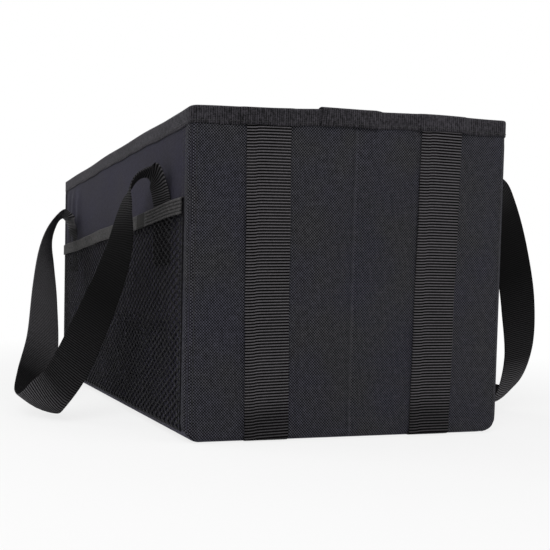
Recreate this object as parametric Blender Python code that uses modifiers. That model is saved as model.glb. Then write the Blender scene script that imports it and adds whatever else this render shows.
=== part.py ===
"""Back seat storage basket: an open-topped soft box that a car's seat belt holds on the seat.

The walls are cloth over stiff boards with a lining inside, sewn together and bound with tape
round the rim. Two flat webbing straps run down the front face, for the belt to pass behind.
Each side wall has a flat mesh pocket and a webbing handle whose loop hangs down outside.

Metres, +Z up. The origin is on the floor under the middle of the box. The face with the two
belt straps looks towards -Y, and +X is to the right of someone who looks at that face.
"""

import math

import bmesh
import bpy
from mathutils import Vector

# Box, over its cloth
WIDTH = 0.286
DEPTH = 0.410
HEIGHT = 0.262
EDGE_RADIUS = 0.013

# Layers of a wall, from outside to inside
CLOTH = 0.0006
BOARD = 0.0020
LINING = 0.0004
CLEARANCE = 0.0003

# The loose board that lies on the floor of the box
BASE_BOARD = 0.0030
BASE_BOARD_PLAY = 0.0015
BASE_BOARD_CORNER = 0.0060
LINING_RADIUS = 0.0100

# How far the boards stop short of the seams, where the cloth turns the corner
BOARD_INSET = 0.0030

# Fold line down the middle of the front and back walls
FOLD_GAP = 0.0040
CREASE_WIDTH = 0.0008
CREASE_DEPTH = 0.0003
CUTTER_OVERRUN = 0.0100

# Tape folded over the rim
RIM_TAPE = 0.0007
RIM_FLAP = 0.0150
RIM_ROUND = 0.0012
LAP_END = -0.0290
LAP_LENGTH = 0.0140
LAP_RAMP = 0.0060
STEP_START = 0.0060
STEP_END = 0.0015

# Webbing of the belt straps
STRAP_WIDTH = 0.0380
STRAP_THICKNESS = 0.0014
STRAP_SHARE = 0.27622
STRAP_LEAN = 0.0050
STRAP_RIB_PITCH = 0.00266
STRAP_RIB_DEPTH = 0.0004
STRAP_SEAM_DEPTH = 0.0006

# Mesh pocket on each side wall
POCKET_TOP_FRONT = 0.192
POCKET_TOP_BACK = 0.175
POCKET_EDGE = 0.0012
POCKET_MESH = 0.0008
POCKET_TAPE = 0.0006
POCKET_TAPE_HEIGHT = 0.0130
POCKET_RAMP = 0.0400
POCKET_SLACK = 0.0003
POCKET_WRAP = math.radians(20.0)
MESH_COLUMNS = 11
MESH_ROWS = 6
MESH_STRAND = 0.0044
MESH_HEM = 0.0080
MESH_UNDER_TAPE = 0.0072

# Webbing of the two handles
HANDLE_WIDTH = 0.0380
HANDLE_THICKNESS = 0.0015
HANDLE_INSET = 0.0550
HANDLE_REACH = 0.0978
HANDLE_SEWN_END = 0.140
HANDLE_STEPS = 5

# A handle's way from its front end to its back end. Each line holds the distance out from the
# wall as a share of the reach, the share of the way between the two ends, the share of the
# pocket's height there, and how far the webbing's width is turned away from the wall and
# lifted, in degrees. The two loops do not hang alike: the right one rises steeper in front.
HANDLE_HANG = {
    "left": [
        (0.057, 0.000, 1.098, -1.1, -1.2),
        (0.100, 0.011, 1.149, -3.1, -4.3),
        (0.193, 0.018, 1.138, -9.0, -7.2),
        (0.283, 0.021, 1.078, -11.7, -12.9),
        (0.319, 0.028, 0.974, 2.6, -14.8),
        (0.394, 0.046, 0.729, 25.8, -12.5),
        (0.681, 0.133, 0.293, 47.7, -4.3),
        (0.909, 0.176, 0.109, 56.0, 8.7),
        (0.961, 0.273, 0.085, 63.4, 23.8),
        (0.881, 0.383, 0.166, 74.3, 30.1),
        (0.721, 0.515, 0.345, 91.6, 29.5),
        (0.602, 0.670, 0.613, 114.8, 25.5),
        (0.487, 0.816, 0.859, 140.0, 21.0),
        (0.365, 0.920, 1.038, 161.6, 17.5),
        (0.226, 0.979, 1.153, 171.5, 13.4),
        (0.117, 0.993, 1.170, 176.3, 6.8),
        (0.041, 1.000, 1.104, 179.9, -1.2),
    ],
    "right": [
        (0.044, 0.000, 1.043, -0.1, -2.1),
        (0.158, -0.002, 1.118, 16.0, -1.2),
        (0.296, -0.005, 1.170, 35.2, 1.5),
        (0.441, -0.009, 1.150, 56.6, 5.5),
        (0.585, 0.009, 1.050, 75.0, 9.7),
        (0.744, 0.025, 0.837, 87.4, 12.9),
        (0.890, 0.040, 0.576, 91.4, 15.2),
        (0.985, 0.062, 0.314, 83.4, 17.8),
        (0.982, 0.107, 0.115, 77.0, 20.7),
        (0.937, 0.177, 0.088, 76.5, 22.6),
        (0.858, 0.278, 0.160, 81.6, 23.0),
        (0.752, 0.415, 0.307, 91.4, 21.7),
        (0.629, 0.579, 0.503, 105.9, 18.4),
        (0.502, 0.743, 0.704, 123.9, 13.5),
        (0.381, 0.871, 0.864, 142.4, 7.7),
        (0.275, 0.949, 0.961, 158.0, 2.5),
        (0.192, 0.983, 1.010, 169.0, -0.8),
        (0.119, 0.996, 1.032, 175.8, -1.4),
        (0.047, 1.000, 1.035, 180.1, 0.0),
    ],
}

# Sizes that follow from the ones above
WALL = CLOTH + CLEARANCE + BOARD + CLEARANCE + LINING
LINING_INSET = WALL - LINING
RIM_GAP = CLEARANCE + RIM_TAPE / 2
WALL_TOP = HEIGHT - RIM_TAPE - RIM_ROUND
FRONT = -DEPTH / 2
BACK = DEPTH / 2
STRAP_CENTRE = WIDTH * STRAP_SHARE
ARC_STEPS = 8
WELD = 0.00001

CLOTH_COLOR = (0.018, 0.018, 0.020)
SIDE_CLOTH_COLOR = (0.026, 0.025, 0.031)
LINING_COLOR = (0.030, 0.030, 0.033)
BOARD_COLOR = (0.080, 0.080, 0.078)
TAPE_COLOR = (0.026, 0.026, 0.027)
WEBBING_COLOR = (0.014, 0.014, 0.014)
MESH_COLOR = (0.016, 0.016, 0.018)


def clear_scene():
    """Take out whatever the file held before."""
    for old in list(bpy.data.objects):
        bpy.data.objects.remove(old, do_unlink=True)


def new_collection(name):
    """A collection linked to the scene."""
    group = bpy.data.collections.new(name)
    bpy.context.scene.collection.children.link(group)
    return group


def principled(name, color, roughness):
    """A plain cloth or board material."""
    mat = bpy.data.materials.new(name)
    mat.use_nodes = True
    shader = mat.node_tree.nodes["Principled BSDF"]
    shader.inputs["Base Color"].default_value = (*color, 1.0)
    shader.inputs["Roughness"].default_value = roughness
    shader.inputs["Metallic"].default_value = 0.0
    return mat


def add_part(name, data, mat):
    """One named sub-part in the basket's collection."""
    obj = bpy.data.objects.new(name, data)
    data.materials.append(mat)
    BASKET.objects.link(obj)
    return obj


def corner_arc(cx, cz, radius, start, end):
    """Points of an arc about (cx, cz) from angle start to angle end, in degrees."""
    points = []
    for step in range(ARC_STEPS + 1):
        angle = math.radians(start + (end - start) * step / ARC_STEPS)
        points.append((cx + radius * math.cos(angle), cz + radius * math.sin(angle)))
    return points


def panel_outline(left, right, bottom, top, left_radius, right_radius):
    """Outline of a standing panel whose two bottom corners are rounded."""
    points = [(right, top), (left, top)]
    if left_radius > 0.0:
        points += corner_arc(left + left_radius, bottom + left_radius, left_radius, 180, 270)
    else:
        points.append((left, bottom))
    if right_radius > 0.0:
        points += corner_arc(right - right_radius, bottom + right_radius, right_radius, 270, 360)
    else:
        points.append((right, bottom))
    return points


def flat_curve(name, outline, half_thickness):
    """A filled 2D outline with a thickness."""
    curve = bpy.data.curves.new(name, "CURVE")
    curve.dimensions = "2D"
    curve.fill_mode = "BOTH"
    curve.extrude = half_thickness
    spline = curve.splines.new("POLY")
    spline.points.add(len(outline) - 1)
    for point, (x, y) in zip(spline.points, outline):
        point.co = (x, y, 0.0, 1.0)
    spline.use_cyclic_u = True
    return curve


def standing_panel(name, outline, outer_y, thickness, mat):
    """A flat panel in an X-Z plane whose outer face, the one away from the middle, is at outer_y."""
    obj = add_part(name, flat_curve(name, outline, thickness / 2), mat)
    inward = 1.0 if outer_y < 0.0 else -1.0
    obj.location = (0.0, outer_y + inward * thickness / 2, 0.0)
    obj.rotation_euler = (math.radians(90.0), 0.0, 0.0)
    return obj


def as_mesh(obj, mat):
    """The same object as a mesh with its caps welded, so that it can be cut."""
    bpy.context.view_layer.update()
    graph = bpy.context.evaluated_depsgraph_get()
    data = bpy.data.meshes.new_from_object(obj.evaluated_get(graph))
    shape = bmesh.new()
    shape.from_mesh(data)
    bmesh.ops.remove_doubles(shape, verts=shape.verts, dist=WELD)
    bmesh.ops.recalc_face_normals(shape, faces=shape.faces)
    shape.to_mesh(data)
    shape.free()
    name = obj.name
    place = obj.matrix_world.copy()
    bpy.data.objects.remove(obj, do_unlink=True)
    data.materials.clear()
    solid = add_part(name, data, mat)
    solid.matrix_world = place
    return solid


def sheet(name, rows, thickness, mat):
    """A bent sheet: rows of points through the middle of it, given a thickness on both sides."""
    shape = bmesh.new()
    grid = []
    for row in rows:
        grid.append([shape.verts.new(point) for point in row])
    for lower, upper in zip(grid[:-1], grid[1:]):
        for left in range(len(lower) - 1):
            shape.faces.new((lower[left], lower[left + 1], upper[left + 1], upper[left]))
    data = bpy.data.meshes.new(name)
    shape.to_mesh(data)
    shape.free()
    obj = add_part(name, data, mat)
    thicken(obj, thickness)
    return obj


def thicken(obj, thickness):
    """Solidify an open surface to both sides of itself."""
    shell = obj.modifiers.new("thickness", "SOLIDIFY")
    shell.thickness = thickness
    shell.offset = 0.0
    shell.use_even_offset = True
    shell.use_quality_normals = True


def board(name, low, high, mat):
    """A stiff board between two opposite corners."""
    size = Vector(high) - Vector(low)
    shape = bmesh.new()
    bmesh.ops.create_cube(shape, size=1.0)
    bmesh.ops.scale(shape, verts=shape.verts, vec=size)
    data = bpy.data.meshes.new(name)
    shape.to_mesh(data)
    shape.free()
    obj = add_part(name, data, mat)
    obj.location = (Vector(low) + Vector(high)) / 2
    return obj


def u_profile(half_width, bottom, radius, top):
    """Left wall, floor and right wall as one line of points (x, z), rounded where they meet."""
    points = [(-half_width, top)]
    points += corner_arc(-half_width + radius, bottom + radius, radius, 180, 270)
    points += corner_arc(half_width - radius, bottom + radius, radius, 270, 360)
    points.append((half_width, top))
    return points


def cloth_panels():
    """The front and back panels, each with a crease down its middle where the box folds flat."""
    tuck = STRAP_THICKNESS + 2 * CLEARANCE
    for name, face, foot in (("front_cloth", FRONT, tuck), ("back_cloth", BACK, 0.0)):
        radius = EDGE_RADIUS - foot
        outline = panel_outline(-WIDTH / 2, WIDTH / 2, foot, WALL_TOP, radius, radius)
        panel = standing_panel(name, outline, face, CLOTH, MATS["cloth"])
        panel = as_mesh(panel, MATS["cloth"])
        crease = panel.modifiers.new("crease", "BOOLEAN")
        crease.operation = "DIFFERENCE"
        crease.object = crease_cutter(name + "_crease", face)


def crease_cutter(name, face):
    """A tall three-sided bar whose edge cuts the crease."""
    shape = bmesh.new()
    depth = CREASE_DEPTH if face < 0.0 else -CREASE_DEPTH
    section = [(-CREASE_WIDTH, face - depth), (CREASE_WIDTH, face - depth), (0.0, face + depth)]
    rings = []
    for z in (-CUTTER_OVERRUN, HEIGHT + CUTTER_OVERRUN):
        rings.append([shape.verts.new((x, y, z)) for x, y in section])
    for first in range(3):
        second = (first + 1) % 3
        shape.faces.new((rings[0][first], rings[0][second], rings[1][second], rings[1][first]))
    shape.faces.new(rings[0])
    shape.faces.new(rings[1])
    bmesh.ops.recalc_face_normals(shape, faces=shape.faces)
    data = bpy.data.meshes.new(name)
    shape.to_mesh(data)
    shape.free()
    cutter = bpy.data.objects.new(name, data)
    cutter.hide_render = True
    cutter.display_type = "WIRE"
    CUTTERS.objects.link(cutter)
    return cutter


def wrap_cloth():
    """The long strip that makes the left side, the underside and the right side in one piece."""
    middle = CLOTH / 2
    profile = u_profile(WIDTH / 2 - middle, middle, EDGE_RADIUS - middle, WALL_TOP)
    reach = DEPTH / 2 - CLOTH - CLEARANCE
    rows = [[(x, y, z) for x, z in profile] for y in (-reach, reach)]
    sheet("side_and_base_cloth", rows, CLOTH, MATS["side cloth"])


def wall_boards():
    """Six stiff boards: two in the front, two in the back and one in each side."""
    skin = CLOTH + CLEARANCE
    margin = skin + BOARD_INSET
    radius = EDGE_RADIUS - margin
    for wall, face in (("front", FRONT + skin), ("back", BACK - skin)):
        left = panel_outline(-WIDTH / 2 + margin, -FOLD_GAP / 2, margin, WALL_TOP, radius, 0.0)
        right = panel_outline(FOLD_GAP / 2, WIDTH / 2 - margin, margin, WALL_TOP, 0.0, radius)
        standing_panel(wall + "_board_left", left, face, BOARD, MATS["board"])
        standing_panel(wall + "_board_right", right, face, BOARD, MATS["board"])
    inner = WIDTH / 2 - skin
    reach = DEPTH / 2 - margin
    for name, low_x in (("side_board_left", -inner), ("side_board_right", inner - BOARD)):
        low = (low_x, -reach, EDGE_RADIUS + CLEARANCE)
        high = (low_x + BOARD, reach, WALL_TOP)
        board(name, low, high, MATS["board"])


def linings():
    """The inner skin: a front and a back panel, and one strip round the sides and the floor."""
    half = WIDTH / 2 - LINING_INSET
    floor = CLOTH + CLEARANCE
    outline = panel_outline(-half, half, floor, WALL_TOP, LINING_RADIUS, LINING_RADIUS)
    standing_panel("front_lining", outline, FRONT + LINING_INSET, LINING, MATS["lining"])
    standing_panel("back_lining", outline, BACK - LINING_INSET, LINING, MATS["lining"])
    middle = LINING / 2
    profile = u_profile(half - middle, floor + middle, LINING_RADIUS - middle, WALL_TOP)
    reach = DEPTH / 2 - WALL - CLEARANCE
    rows = [[(x, y, z) for x, z in profile] for y in (-reach, reach)]
    sheet("side_and_base_lining", rows, LINING, MATS["lining"])


def base_board():
    """The stiff covered board that lies loose on the floor of the box."""
    half_x = WIDTH / 2 - LINING_INSET - LINING_RADIUS + BASE_BOARD_PLAY
    half_y = DEPTH / 2 - WALL - BASE_BOARD_PLAY
    corner = BASE_BOARD_CORNER
    outline = []
    for x, y, start in ((1, 1, 0), (-1, 1, 90), (-1, -1, 180), (1, -1, 270)):
        outline += corner_arc(x * (half_x - corner), y * (half_y - corner), corner, start, start + 90)
    obj = add_part("base_board", flat_curve("base_board", outline, BASE_BOARD / 2), MATS["lining"])
    floor = CLOTH + CLEARANCE + LINING + CLEARANCE
    obj.location = (0.0, 0.0, floor + BASE_BOARD / 2)


def rim_profile(bump, lift):
    """The folded tape across the wall: (distance out from the cloth's face, height)."""
    out = RIM_GAP + bump
    inside = -WALL - RIM_GAP - lift
    shoulder = HEIGHT - RIM_TAPE / 2 - RIM_ROUND + lift
    crown = HEIGHT - RIM_TAPE / 2 + lift
    return [
        (out, HEIGHT - RIM_FLAP),
        (out, shoulder),
        (out - RIM_ROUND - bump / 2, crown),
        (inside + RIM_ROUND, crown),
        (inside, shoulder),
        (inside, HEIGHT - RIM_FLAP),
    ]


def rim_stations():
    """Places round the rim: (point on the cloth's face, direction out, bump, lift)."""
    over_strap = STRAP_THICKNESS + CLEARANCE
    over_tape = RIM_TAPE + CLEARANCE
    half = STRAP_WIDTH / 2
    right_strap = []
    left_strap = []
    for shift, bump in ((half + STEP_START, 0.0), (half + STEP_END, over_strap),
                        (-half - STEP_END, over_strap), (-half - STEP_START, 0.0)):
        right_strap.append((STRAP_CENTRE + shift, bump))
        left_strap.append((-STRAP_CENTRE + shift, bump))
    out = (0.0, -1.0)
    stations = [((LAP_END + LAP_LENGTH, FRONT), out, 0.0, 0.0)]
    for x, bump in left_strap:
        stations.append(((x, FRONT), out, bump, 0.0))
    stations.append(((-WIDTH / 2, FRONT), (-1.0, -1.0), 0.0, 0.0))
    stations.append(((-WIDTH / 2, BACK), (-1.0, 1.0), 0.0, 0.0))
    stations.append(((WIDTH / 2, BACK), (1.0, 1.0), 0.0, 0.0))
    stations.append(((WIDTH / 2, FRONT), (1.0, -1.0), 0.0, 0.0))
    for x, bump in right_strap:
        stations.append(((x, FRONT), out, bump, 0.0))
    lap_start = LAP_END + LAP_LENGTH
    stations.append(((lap_start + LAP_RAMP, FRONT), out, 0.0, 0.0))
    stations.append(((lap_start + CLEARANCE, FRONT), out, over_tape, over_tape))
    stations.append(((LAP_END, FRONT), out, over_tape, over_tape))
    return stations


def rim_binding():
    """One tape folded over the rim all the way round; its end laps over its start in front."""
    rows = []
    for (x, y), (out_x, out_y), bump, lift in rim_stations():
        row = []
        for out, z in rim_profile(bump, lift):
            row.append((x + out_x * out, y + out_y * out, z))
        rows.append(row)
    sheet("rim_binding", rows, RIM_TAPE, MATS["tape"])


def belt_strap_outline():
    """Side view of a belt strap: ribbed outside, smooth inside, its foot tucked under the panel."""
    back = CLEARANCE
    valley = back + STRAP_THICKNESS - STRAP_RIB_DEPTH
    ridge = back + STRAP_THICKNESS
    top = WALL_TOP - CLEARANCE
    foot = CLEARANCE + STRAP_THICKNESS
    points = [(-back, top), (-valley, top)]
    ribs = int((top - foot) / STRAP_RIB_PITCH)
    for rib in range(ribs):
        z = top - (rib + 0.5) * STRAP_RIB_PITCH
        points.append((-ridge, z))
        points.append((-valley, z - STRAP_RIB_PITCH / 2))
    turn = STRAP_THICKNESS
    points += corner_arc(-ridge + turn, CLEARANCE + turn, turn, 180, 270)
    points.append((STRAP_SEAM_DEPTH, CLEARANCE))
    points.append((STRAP_SEAM_DEPTH, foot))
    points.append((-back, foot))
    return points


def belt_straps():
    """Two flat straps down the front, a little nearer to each other at the foot than at the rim."""
    for name, side in (("belt_strap_left", -1.0), ("belt_strap_right", 1.0)):
        data = flat_curve(name, belt_strap_outline(), STRAP_WIDTH / 2)
        obj = add_part(name, data, MATS["webbing"])
        obj.location = (side * STRAP_CENTRE, FRONT, 0.0)
        obj.rotation_euler = (math.radians(90.0), 0.0, math.radians(90.0))
        strap = as_mesh(obj, MATS["webbing"])
        for vertex in strap.data.vertices:
            vertex.co.z -= side * STRAP_LEAN * (1.0 - vertex.co.y / WALL_TOP)


def pocket_top(y):
    """Height of the pocket's top edge, which drops a little towards the back."""
    share = (y - FRONT) / DEPTH
    return POCKET_TOP_FRONT + (POCKET_TOP_BACK - POCKET_TOP_FRONT) * share


def smooth(value):
    """An even ramp from 0 to 1."""
    share = min(1.0, max(0.0, value))
    return share * share * (3.0 - 2.0 * share)


def pocket_offset(height):
    """Distance of the middle of the mesh from the wall: it clears the handle's sewn ends."""
    low = CLEARANCE + POCKET_MESH / 2 + POCKET_SLACK
    high = 3 * CLEARANCE + HANDLE_THICKNESS + POCKET_TAPE + POCKET_MESH / 2
    ramp_end = HANDLE_SEWN_END - POCKET_RAMP / 2
    return low + (high - low) * smooth((height - ramp_end + POCKET_RAMP) / POCKET_RAMP)


def on_wall(side, y, height, out):
    """A point at a distance out from a side wall; heights under the rounding wrap round it."""
    if height >= EDGE_RADIUS:
        return (side * (WIDTH / 2 + out), y, height)
    angle = (EDGE_RADIUS - height) / EDGE_RADIUS
    reach = EDGE_RADIUS + out
    x = WIDTH / 2 - EDGE_RADIUS + reach * math.cos(angle)
    return (side * x, y, EDGE_RADIUS - reach * math.sin(angle))


def mesh_rings():
    """Frames of the net, from the field of gaps to its outer edge: (front, back, bottom, top)."""
    foot = EDGE_RADIUS * (1.0 - POCKET_WRAP)
    edge = POCKET_EDGE
    below_crown = POCKET_TAPE + CLEARANCE
    return [
        (FRONT + edge + MESH_HEM, BACK - edge - MESH_HEM, EDGE_RADIUS + MESH_HEM, POCKET_TAPE_HEIGHT),
        (FRONT + edge + MESH_HEM / 2, BACK - edge - MESH_HEM / 2, EDGE_RADIUS, MESH_UNDER_TAPE),
        (FRONT + edge, BACK - edge, foot, below_crown),
    ]


def net_point(ring, column, row):
    """A point of the net by its column and row, in the plane of the wall."""
    front, back, bottom, below_top = ring
    y = front + (back - front) * column / MESH_COLUMNS
    top = pocket_top(y) - below_top
    return (0.0, y, bottom + (top - bottom) * row / MESH_ROWS)


def net_border():
    """The columns and rows of the points round the field of gaps, in order."""
    points = [(0.0, 0.0)]
    points += [(column + 0.5, 0.0) for column in range(MESH_COLUMNS)]
    points.append((MESH_COLUMNS, 0.0))
    points += [(MESH_COLUMNS, row + 0.5) for row in range(MESH_ROWS)]
    points.append((MESH_COLUMNS, MESH_ROWS))
    points += [(column + 0.5, MESH_ROWS) for column in reversed(range(MESH_COLUMNS))]
    points.append((0.0, MESH_ROWS))
    points += [(0.0, row + 0.5) for row in reversed(range(MESH_ROWS))]
    return points


def net_faces(shape):
    """Rhombic cells in two staggered sets, the half cells at the border and the hem round them."""
    rings = mesh_rings()
    known = {}

    def vert(column, row, ring=0):
        key = (round(column * 2), round(row * 2), ring)
        if key not in known:
            known[key] = shape.verts.new(net_point(rings[ring], column, row))
        return known[key]

    cells = []
    for column in range(MESH_COLUMNS):
        for row in range(MESH_ROWS):
            corners = [vert(column, row + 0.5), vert(column + 0.5, row),
                       vert(column + 1, row + 0.5), vert(column + 0.5, row + 1)]
            cells.append(shape.faces.new(corners))
    for column in range(MESH_COLUMNS + 1):
        for row in range(MESH_ROWS + 1):
            corners = [(column - 0.5, row), (column, row - 0.5), (column + 0.5, row), (column, row + 0.5)]
            inside = [(c, r) for c, r in corners if 0 <= c <= MESH_COLUMNS and 0 <= r <= MESH_ROWS]
            if len(inside) == 4:
                cells.append(shape.faces.new([vert(c, r) for c, r in inside]))
            elif len(inside) == 3:
                shape.faces.new([vert(c, r) for c, r in inside])
            else:
                on_row = [point for point in inside if point[1] == row][0]
                on_column = [point for point in inside if point[0] == column][0]
                shape.faces.new([vert(column, row), vert(*on_row), vert(*on_column)])
    border = net_border()
    for inner in range(len(rings) - 1):
        for (c0, r0), (c1, r1) in zip(border, border[1:] + border[:1]):
            shape.faces.new((vert(c0, r0, inner), vert(c1, r1, inner),
                             vert(c1, r1, inner + 1), vert(c0, r0, inner + 1)))
    return cells


def pocket_mesh(name, side):
    """The net of a pocket: its front, back and foot lie in the seams, and it is open at the top."""
    shape = bmesh.new()
    cells = net_faces(shape)
    bmesh.ops.recalc_face_normals(shape, faces=shape.faces)
    bmesh.ops.inset_individual(shape, faces=cells, thickness=MESH_STRAND / 2, use_even_offset=True)
    bmesh.ops.delete(shape, geom=cells, context="FACES")
    for vertex in shape.verts:
        _, y, height = vertex.co
        vertex.co = on_wall(side, y, height, pocket_offset(height))
    bmesh.ops.recalc_face_normals(shape, faces=shape.faces)
    data = bpy.data.meshes.new(name)
    shape.to_mesh(data)
    shape.free()
    obj = add_part(name, data, MATS["mesh"])
    thicken(obj, POCKET_MESH)


def pocket_binding(name, side):
    """The tape folded over the top edge of a pocket."""
    reach = POCKET_MESH / 2 + CLEARANCE + POCKET_TAPE / 2
    rows = []
    for y in (FRONT + POCKET_EDGE, BACK - POCKET_EDGE):
        top = pocket_top(y)
        middle = pocket_offset(top)
        foot = top - POCKET_TAPE_HEIGHT
        crown = top - POCKET_TAPE / 2
        row = []
        for out, z in ((reach, foot), (reach, crown), (-reach, crown), (-reach, foot)):
            row.append(on_wall(side, y, z, middle + out))
        rows.append(row)
    sheet(name, rows, POCKET_TAPE, MATS["tape"])


def handle_route(hang, side):
    """Points of a handle's middle line with the direction across the webbing at each."""
    span = DEPTH - 2 * HANDLE_INSET
    flat = CLEARANCE + HANDLE_THICKNESS / 2
    first = FRONT + HANDLE_INSET
    last = first + span
    stations = []
    for height in (HANDLE_SEWN_END, (HANDLE_SEWN_END + pocket_top(first)) / 2, pocket_top(first)):
        stations.append((flat, first, height, 0.0, 0.0))
    for reach_share, share, height_share, turn, lift in hang:
        y = first + span * share
        stations.append((HANDLE_REACH * reach_share, y, pocket_top(y) * height_share, turn, lift))
    for height in (pocket_top(last), (HANDLE_SEWN_END + pocket_top(last)) / 2, HANDLE_SEWN_END):
        stations.append((flat, last, height, 180.0, 0.0))
    middle = []
    across = []
    for out, y, z, turn, lift in stations:
        middle.append(Vector((side * (WIDTH / 2 + out), y, z)))
        swing = math.radians(turn)
        rise = math.radians(lift)
        level = Vector((side * math.sin(swing), math.cos(swing), 0.0))
        across.append(level * math.cos(rise) + Vector((0.0, 0.0, math.sin(rise))))
    return middle, across


def smooth_line(points, steps):
    """A smooth line through the points (Catmull-Rom), with some steps between two of them."""
    line = []
    last = len(points) - 1
    for index in range(last):
        before = points[max(index - 1, 0)]
        start = points[index]
        end = points[index + 1]
        after = points[min(index + 2, last)]
        for step in range(steps):
            t = step / steps
            line.append(0.5 * (2 * start + (end - before) * t
                               + (2 * before - 5 * start + 4 * end - after) * t ** 2
                               + (3 * start - before - 3 * end + after) * t ** 3))
    line.append(points[-1].copy())
    return line


def handle(name, hang, side):
    """A webbing handle: sewn to the wall at both ends under the pocket, its loop hanging outside."""
    middle, across = handle_route(hang, side)
    line = smooth_line(middle, HANDLE_STEPS)
    widths = smooth_line(across, HANDLE_STEPS)
    nearest = WIDTH / 2 + CLEARANCE + HANDLE_THICKNESS / 2
    for point in line:
        point.x = side * max(side * point.x, nearest)
    rows = []
    for index, (point, width) in enumerate(zip(line, widths)):
        ahead = line[min(index + 1, len(line) - 1)]
        behind = line[max(index - 1, 0)]
        run = (ahead - behind).normalized()
        level = (width - run * width.dot(run)).normalized() * HANDLE_WIDTH / 2
        rows.append([point - level, point + level])
    sheet(name, rows, HANDLE_THICKNESS, MATS["webbing"])


clear_scene()
BASKET = new_collection("back_seat_storage_basket")
CUTTERS = new_collection("cutters")
MATS = {
    "cloth": principled("woven cloth", CLOTH_COLOR, 0.85),
    "side cloth": principled("side cloth", SIDE_CLOTH_COLOR, 0.80),
    "lining": principled("lining cloth", LINING_COLOR, 0.80),
    "board": principled("stiff board", BOARD_COLOR, 0.70),
    "tape": principled("binding tape", TAPE_COLOR, 0.75),
    "webbing": principled("webbing", WEBBING_COLOR, 0.65),
    "mesh": principled("pocket mesh", MESH_COLOR, 0.70),
}
cloth_panels()
wrap_cloth()
wall_boards()
linings()
base_board()
rim_binding()
belt_straps()
for word, way in (("left", -1.0), ("right", 1.0)):
    pocket_mesh("pocket_mesh_" + word, way)
    pocket_binding("pocket_binding_" + word, way)
    handle("handle_" + word, HANDLE_HANG[word], way)
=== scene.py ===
# %% [markdown]
# # A back seat storage basket, dressed in cloth, tape, webbing and net
#
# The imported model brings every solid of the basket, plain and in its place. This lesson gives
# each of them the surface that the sewn thing shows: woven walls, a ribbed tape round the rim,
# webbing with real ribs, a knitted net over each side pocket, and the stitches that hold them.
# Nothing is moved. Each new piece lies where its solid lies, and the solid stays for collision.

# %% Load the fixed frame
import math

import bpy
import numpy as np
from mathutils import Matrix, Vector


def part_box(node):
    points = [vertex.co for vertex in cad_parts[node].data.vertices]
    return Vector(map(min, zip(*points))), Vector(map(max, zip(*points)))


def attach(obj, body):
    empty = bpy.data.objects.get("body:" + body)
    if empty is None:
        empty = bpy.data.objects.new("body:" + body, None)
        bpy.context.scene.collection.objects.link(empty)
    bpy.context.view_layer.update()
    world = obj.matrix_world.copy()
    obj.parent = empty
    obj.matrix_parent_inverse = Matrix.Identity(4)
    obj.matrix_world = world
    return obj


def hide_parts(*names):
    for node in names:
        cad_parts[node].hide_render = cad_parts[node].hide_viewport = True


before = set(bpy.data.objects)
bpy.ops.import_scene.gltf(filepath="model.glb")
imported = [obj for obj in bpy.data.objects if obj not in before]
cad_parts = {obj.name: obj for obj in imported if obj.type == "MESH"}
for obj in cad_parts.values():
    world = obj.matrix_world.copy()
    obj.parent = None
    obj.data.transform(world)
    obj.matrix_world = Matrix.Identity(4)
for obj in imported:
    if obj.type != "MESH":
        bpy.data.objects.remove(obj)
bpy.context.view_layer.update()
print("solids in the frame:", len(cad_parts))

# %% [markdown]
# ## The sizes that everything shares
#
# A sewn box is simple to describe: three lengths, the layers of its wall and the widths of its
# tapes. They are the sizes of the solids, in metres. The front looks towards -Y. The corner
# rounding is new here: over the end of a stiff board the cloth turns in a soft curve, and the
# seam lies in the middle of that curve.

# %% Sizes of the basket
WIDTH, DEPTH, HEIGHT = 0.286, 0.410, 0.262
FRONT, BACK = -DEPTH / 2, DEPTH / 2
EDGE_RADIUS = 0.013
CORNER_ROUND = 0.0050
CLOTH, LINING, CLEARANCE = 0.0006, 0.0004, 0.0003
WALL = 0.0036
RIM_TAPE, RIM_FLAP = 0.0007, 0.0138
WALL_TOP = 0.2601
STRAP_WIDTH, STRAP_THICKNESS, STRAP_CENTRE, STRAP_LEAN = 0.0380, 0.0014, 0.0790, 0.0050
RIB_PITCH, RIB_DEPTH = 0.00234, 0.0004
HANDLE_RIB_PITCH, HANDLE_RIB_DEPTH = 0.00200, 0.00035
GRID_STEP, RUBBED_REACH, CALM_REACH = 0.0045, 0.004, 0.03
print("box over the cloth, mm:", [round(1000 * side) for side in (WIDTH, DEPTH, HEIGHT)])

# %% [markdown]
# ## The camera
#
# The photograph was taken from the front left with the lens at about half the height of the box.
# The fit to its corners says that the picture is a crop: the lens looked at a place far to the
# left of the picture's middle, which a shift of the lens does here. The camera is turned 12
# degrees to the right of the box, looks down by 2.25 degrees and rolls by 0.64 of a degree.

# %% Camera
LENS, SHIFT = 45.40, (0.4166, 0.0679)
EYE = Vector((-0.3605, -0.7050, 0.1221))
YAW, PITCH, ROLL = math.radians(11.94), math.radians(2.25), math.radians(0.64)

lens = bpy.data.cameras.new("camera")
lens.lens = LENS
lens.shift_x, lens.shift_y = SHIFT
camera = bpy.data.objects.new("camera", lens)
turn = Matrix.Rotation(-YAW, 3, "Z") @ Matrix.Rotation(math.pi / 2 - PITCH, 3, "X")
turn = turn @ Matrix.Rotation(ROLL, 3, "Z")
camera.location = EYE
camera.rotation_euler = turn.to_euler()
bpy.context.scene.collection.objects.link(camera)
bpy.context.scene.camera = camera
bpy.context.scene.view_settings.view_transform = "Standard"
print("camera stands", [round(1000 * side) for side in EYE], "mm from the middle of the floor")

# %% [markdown]
# ## Shader maths that reads like maths
#
# A weave is a formula, and a material is easier to follow when the formula is written as one.
# The class Number wraps one socket of a material: adding or multiplying two of them adds the
# Math node that does it. Finish makes one material, and its node method adds any other node.

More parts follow.
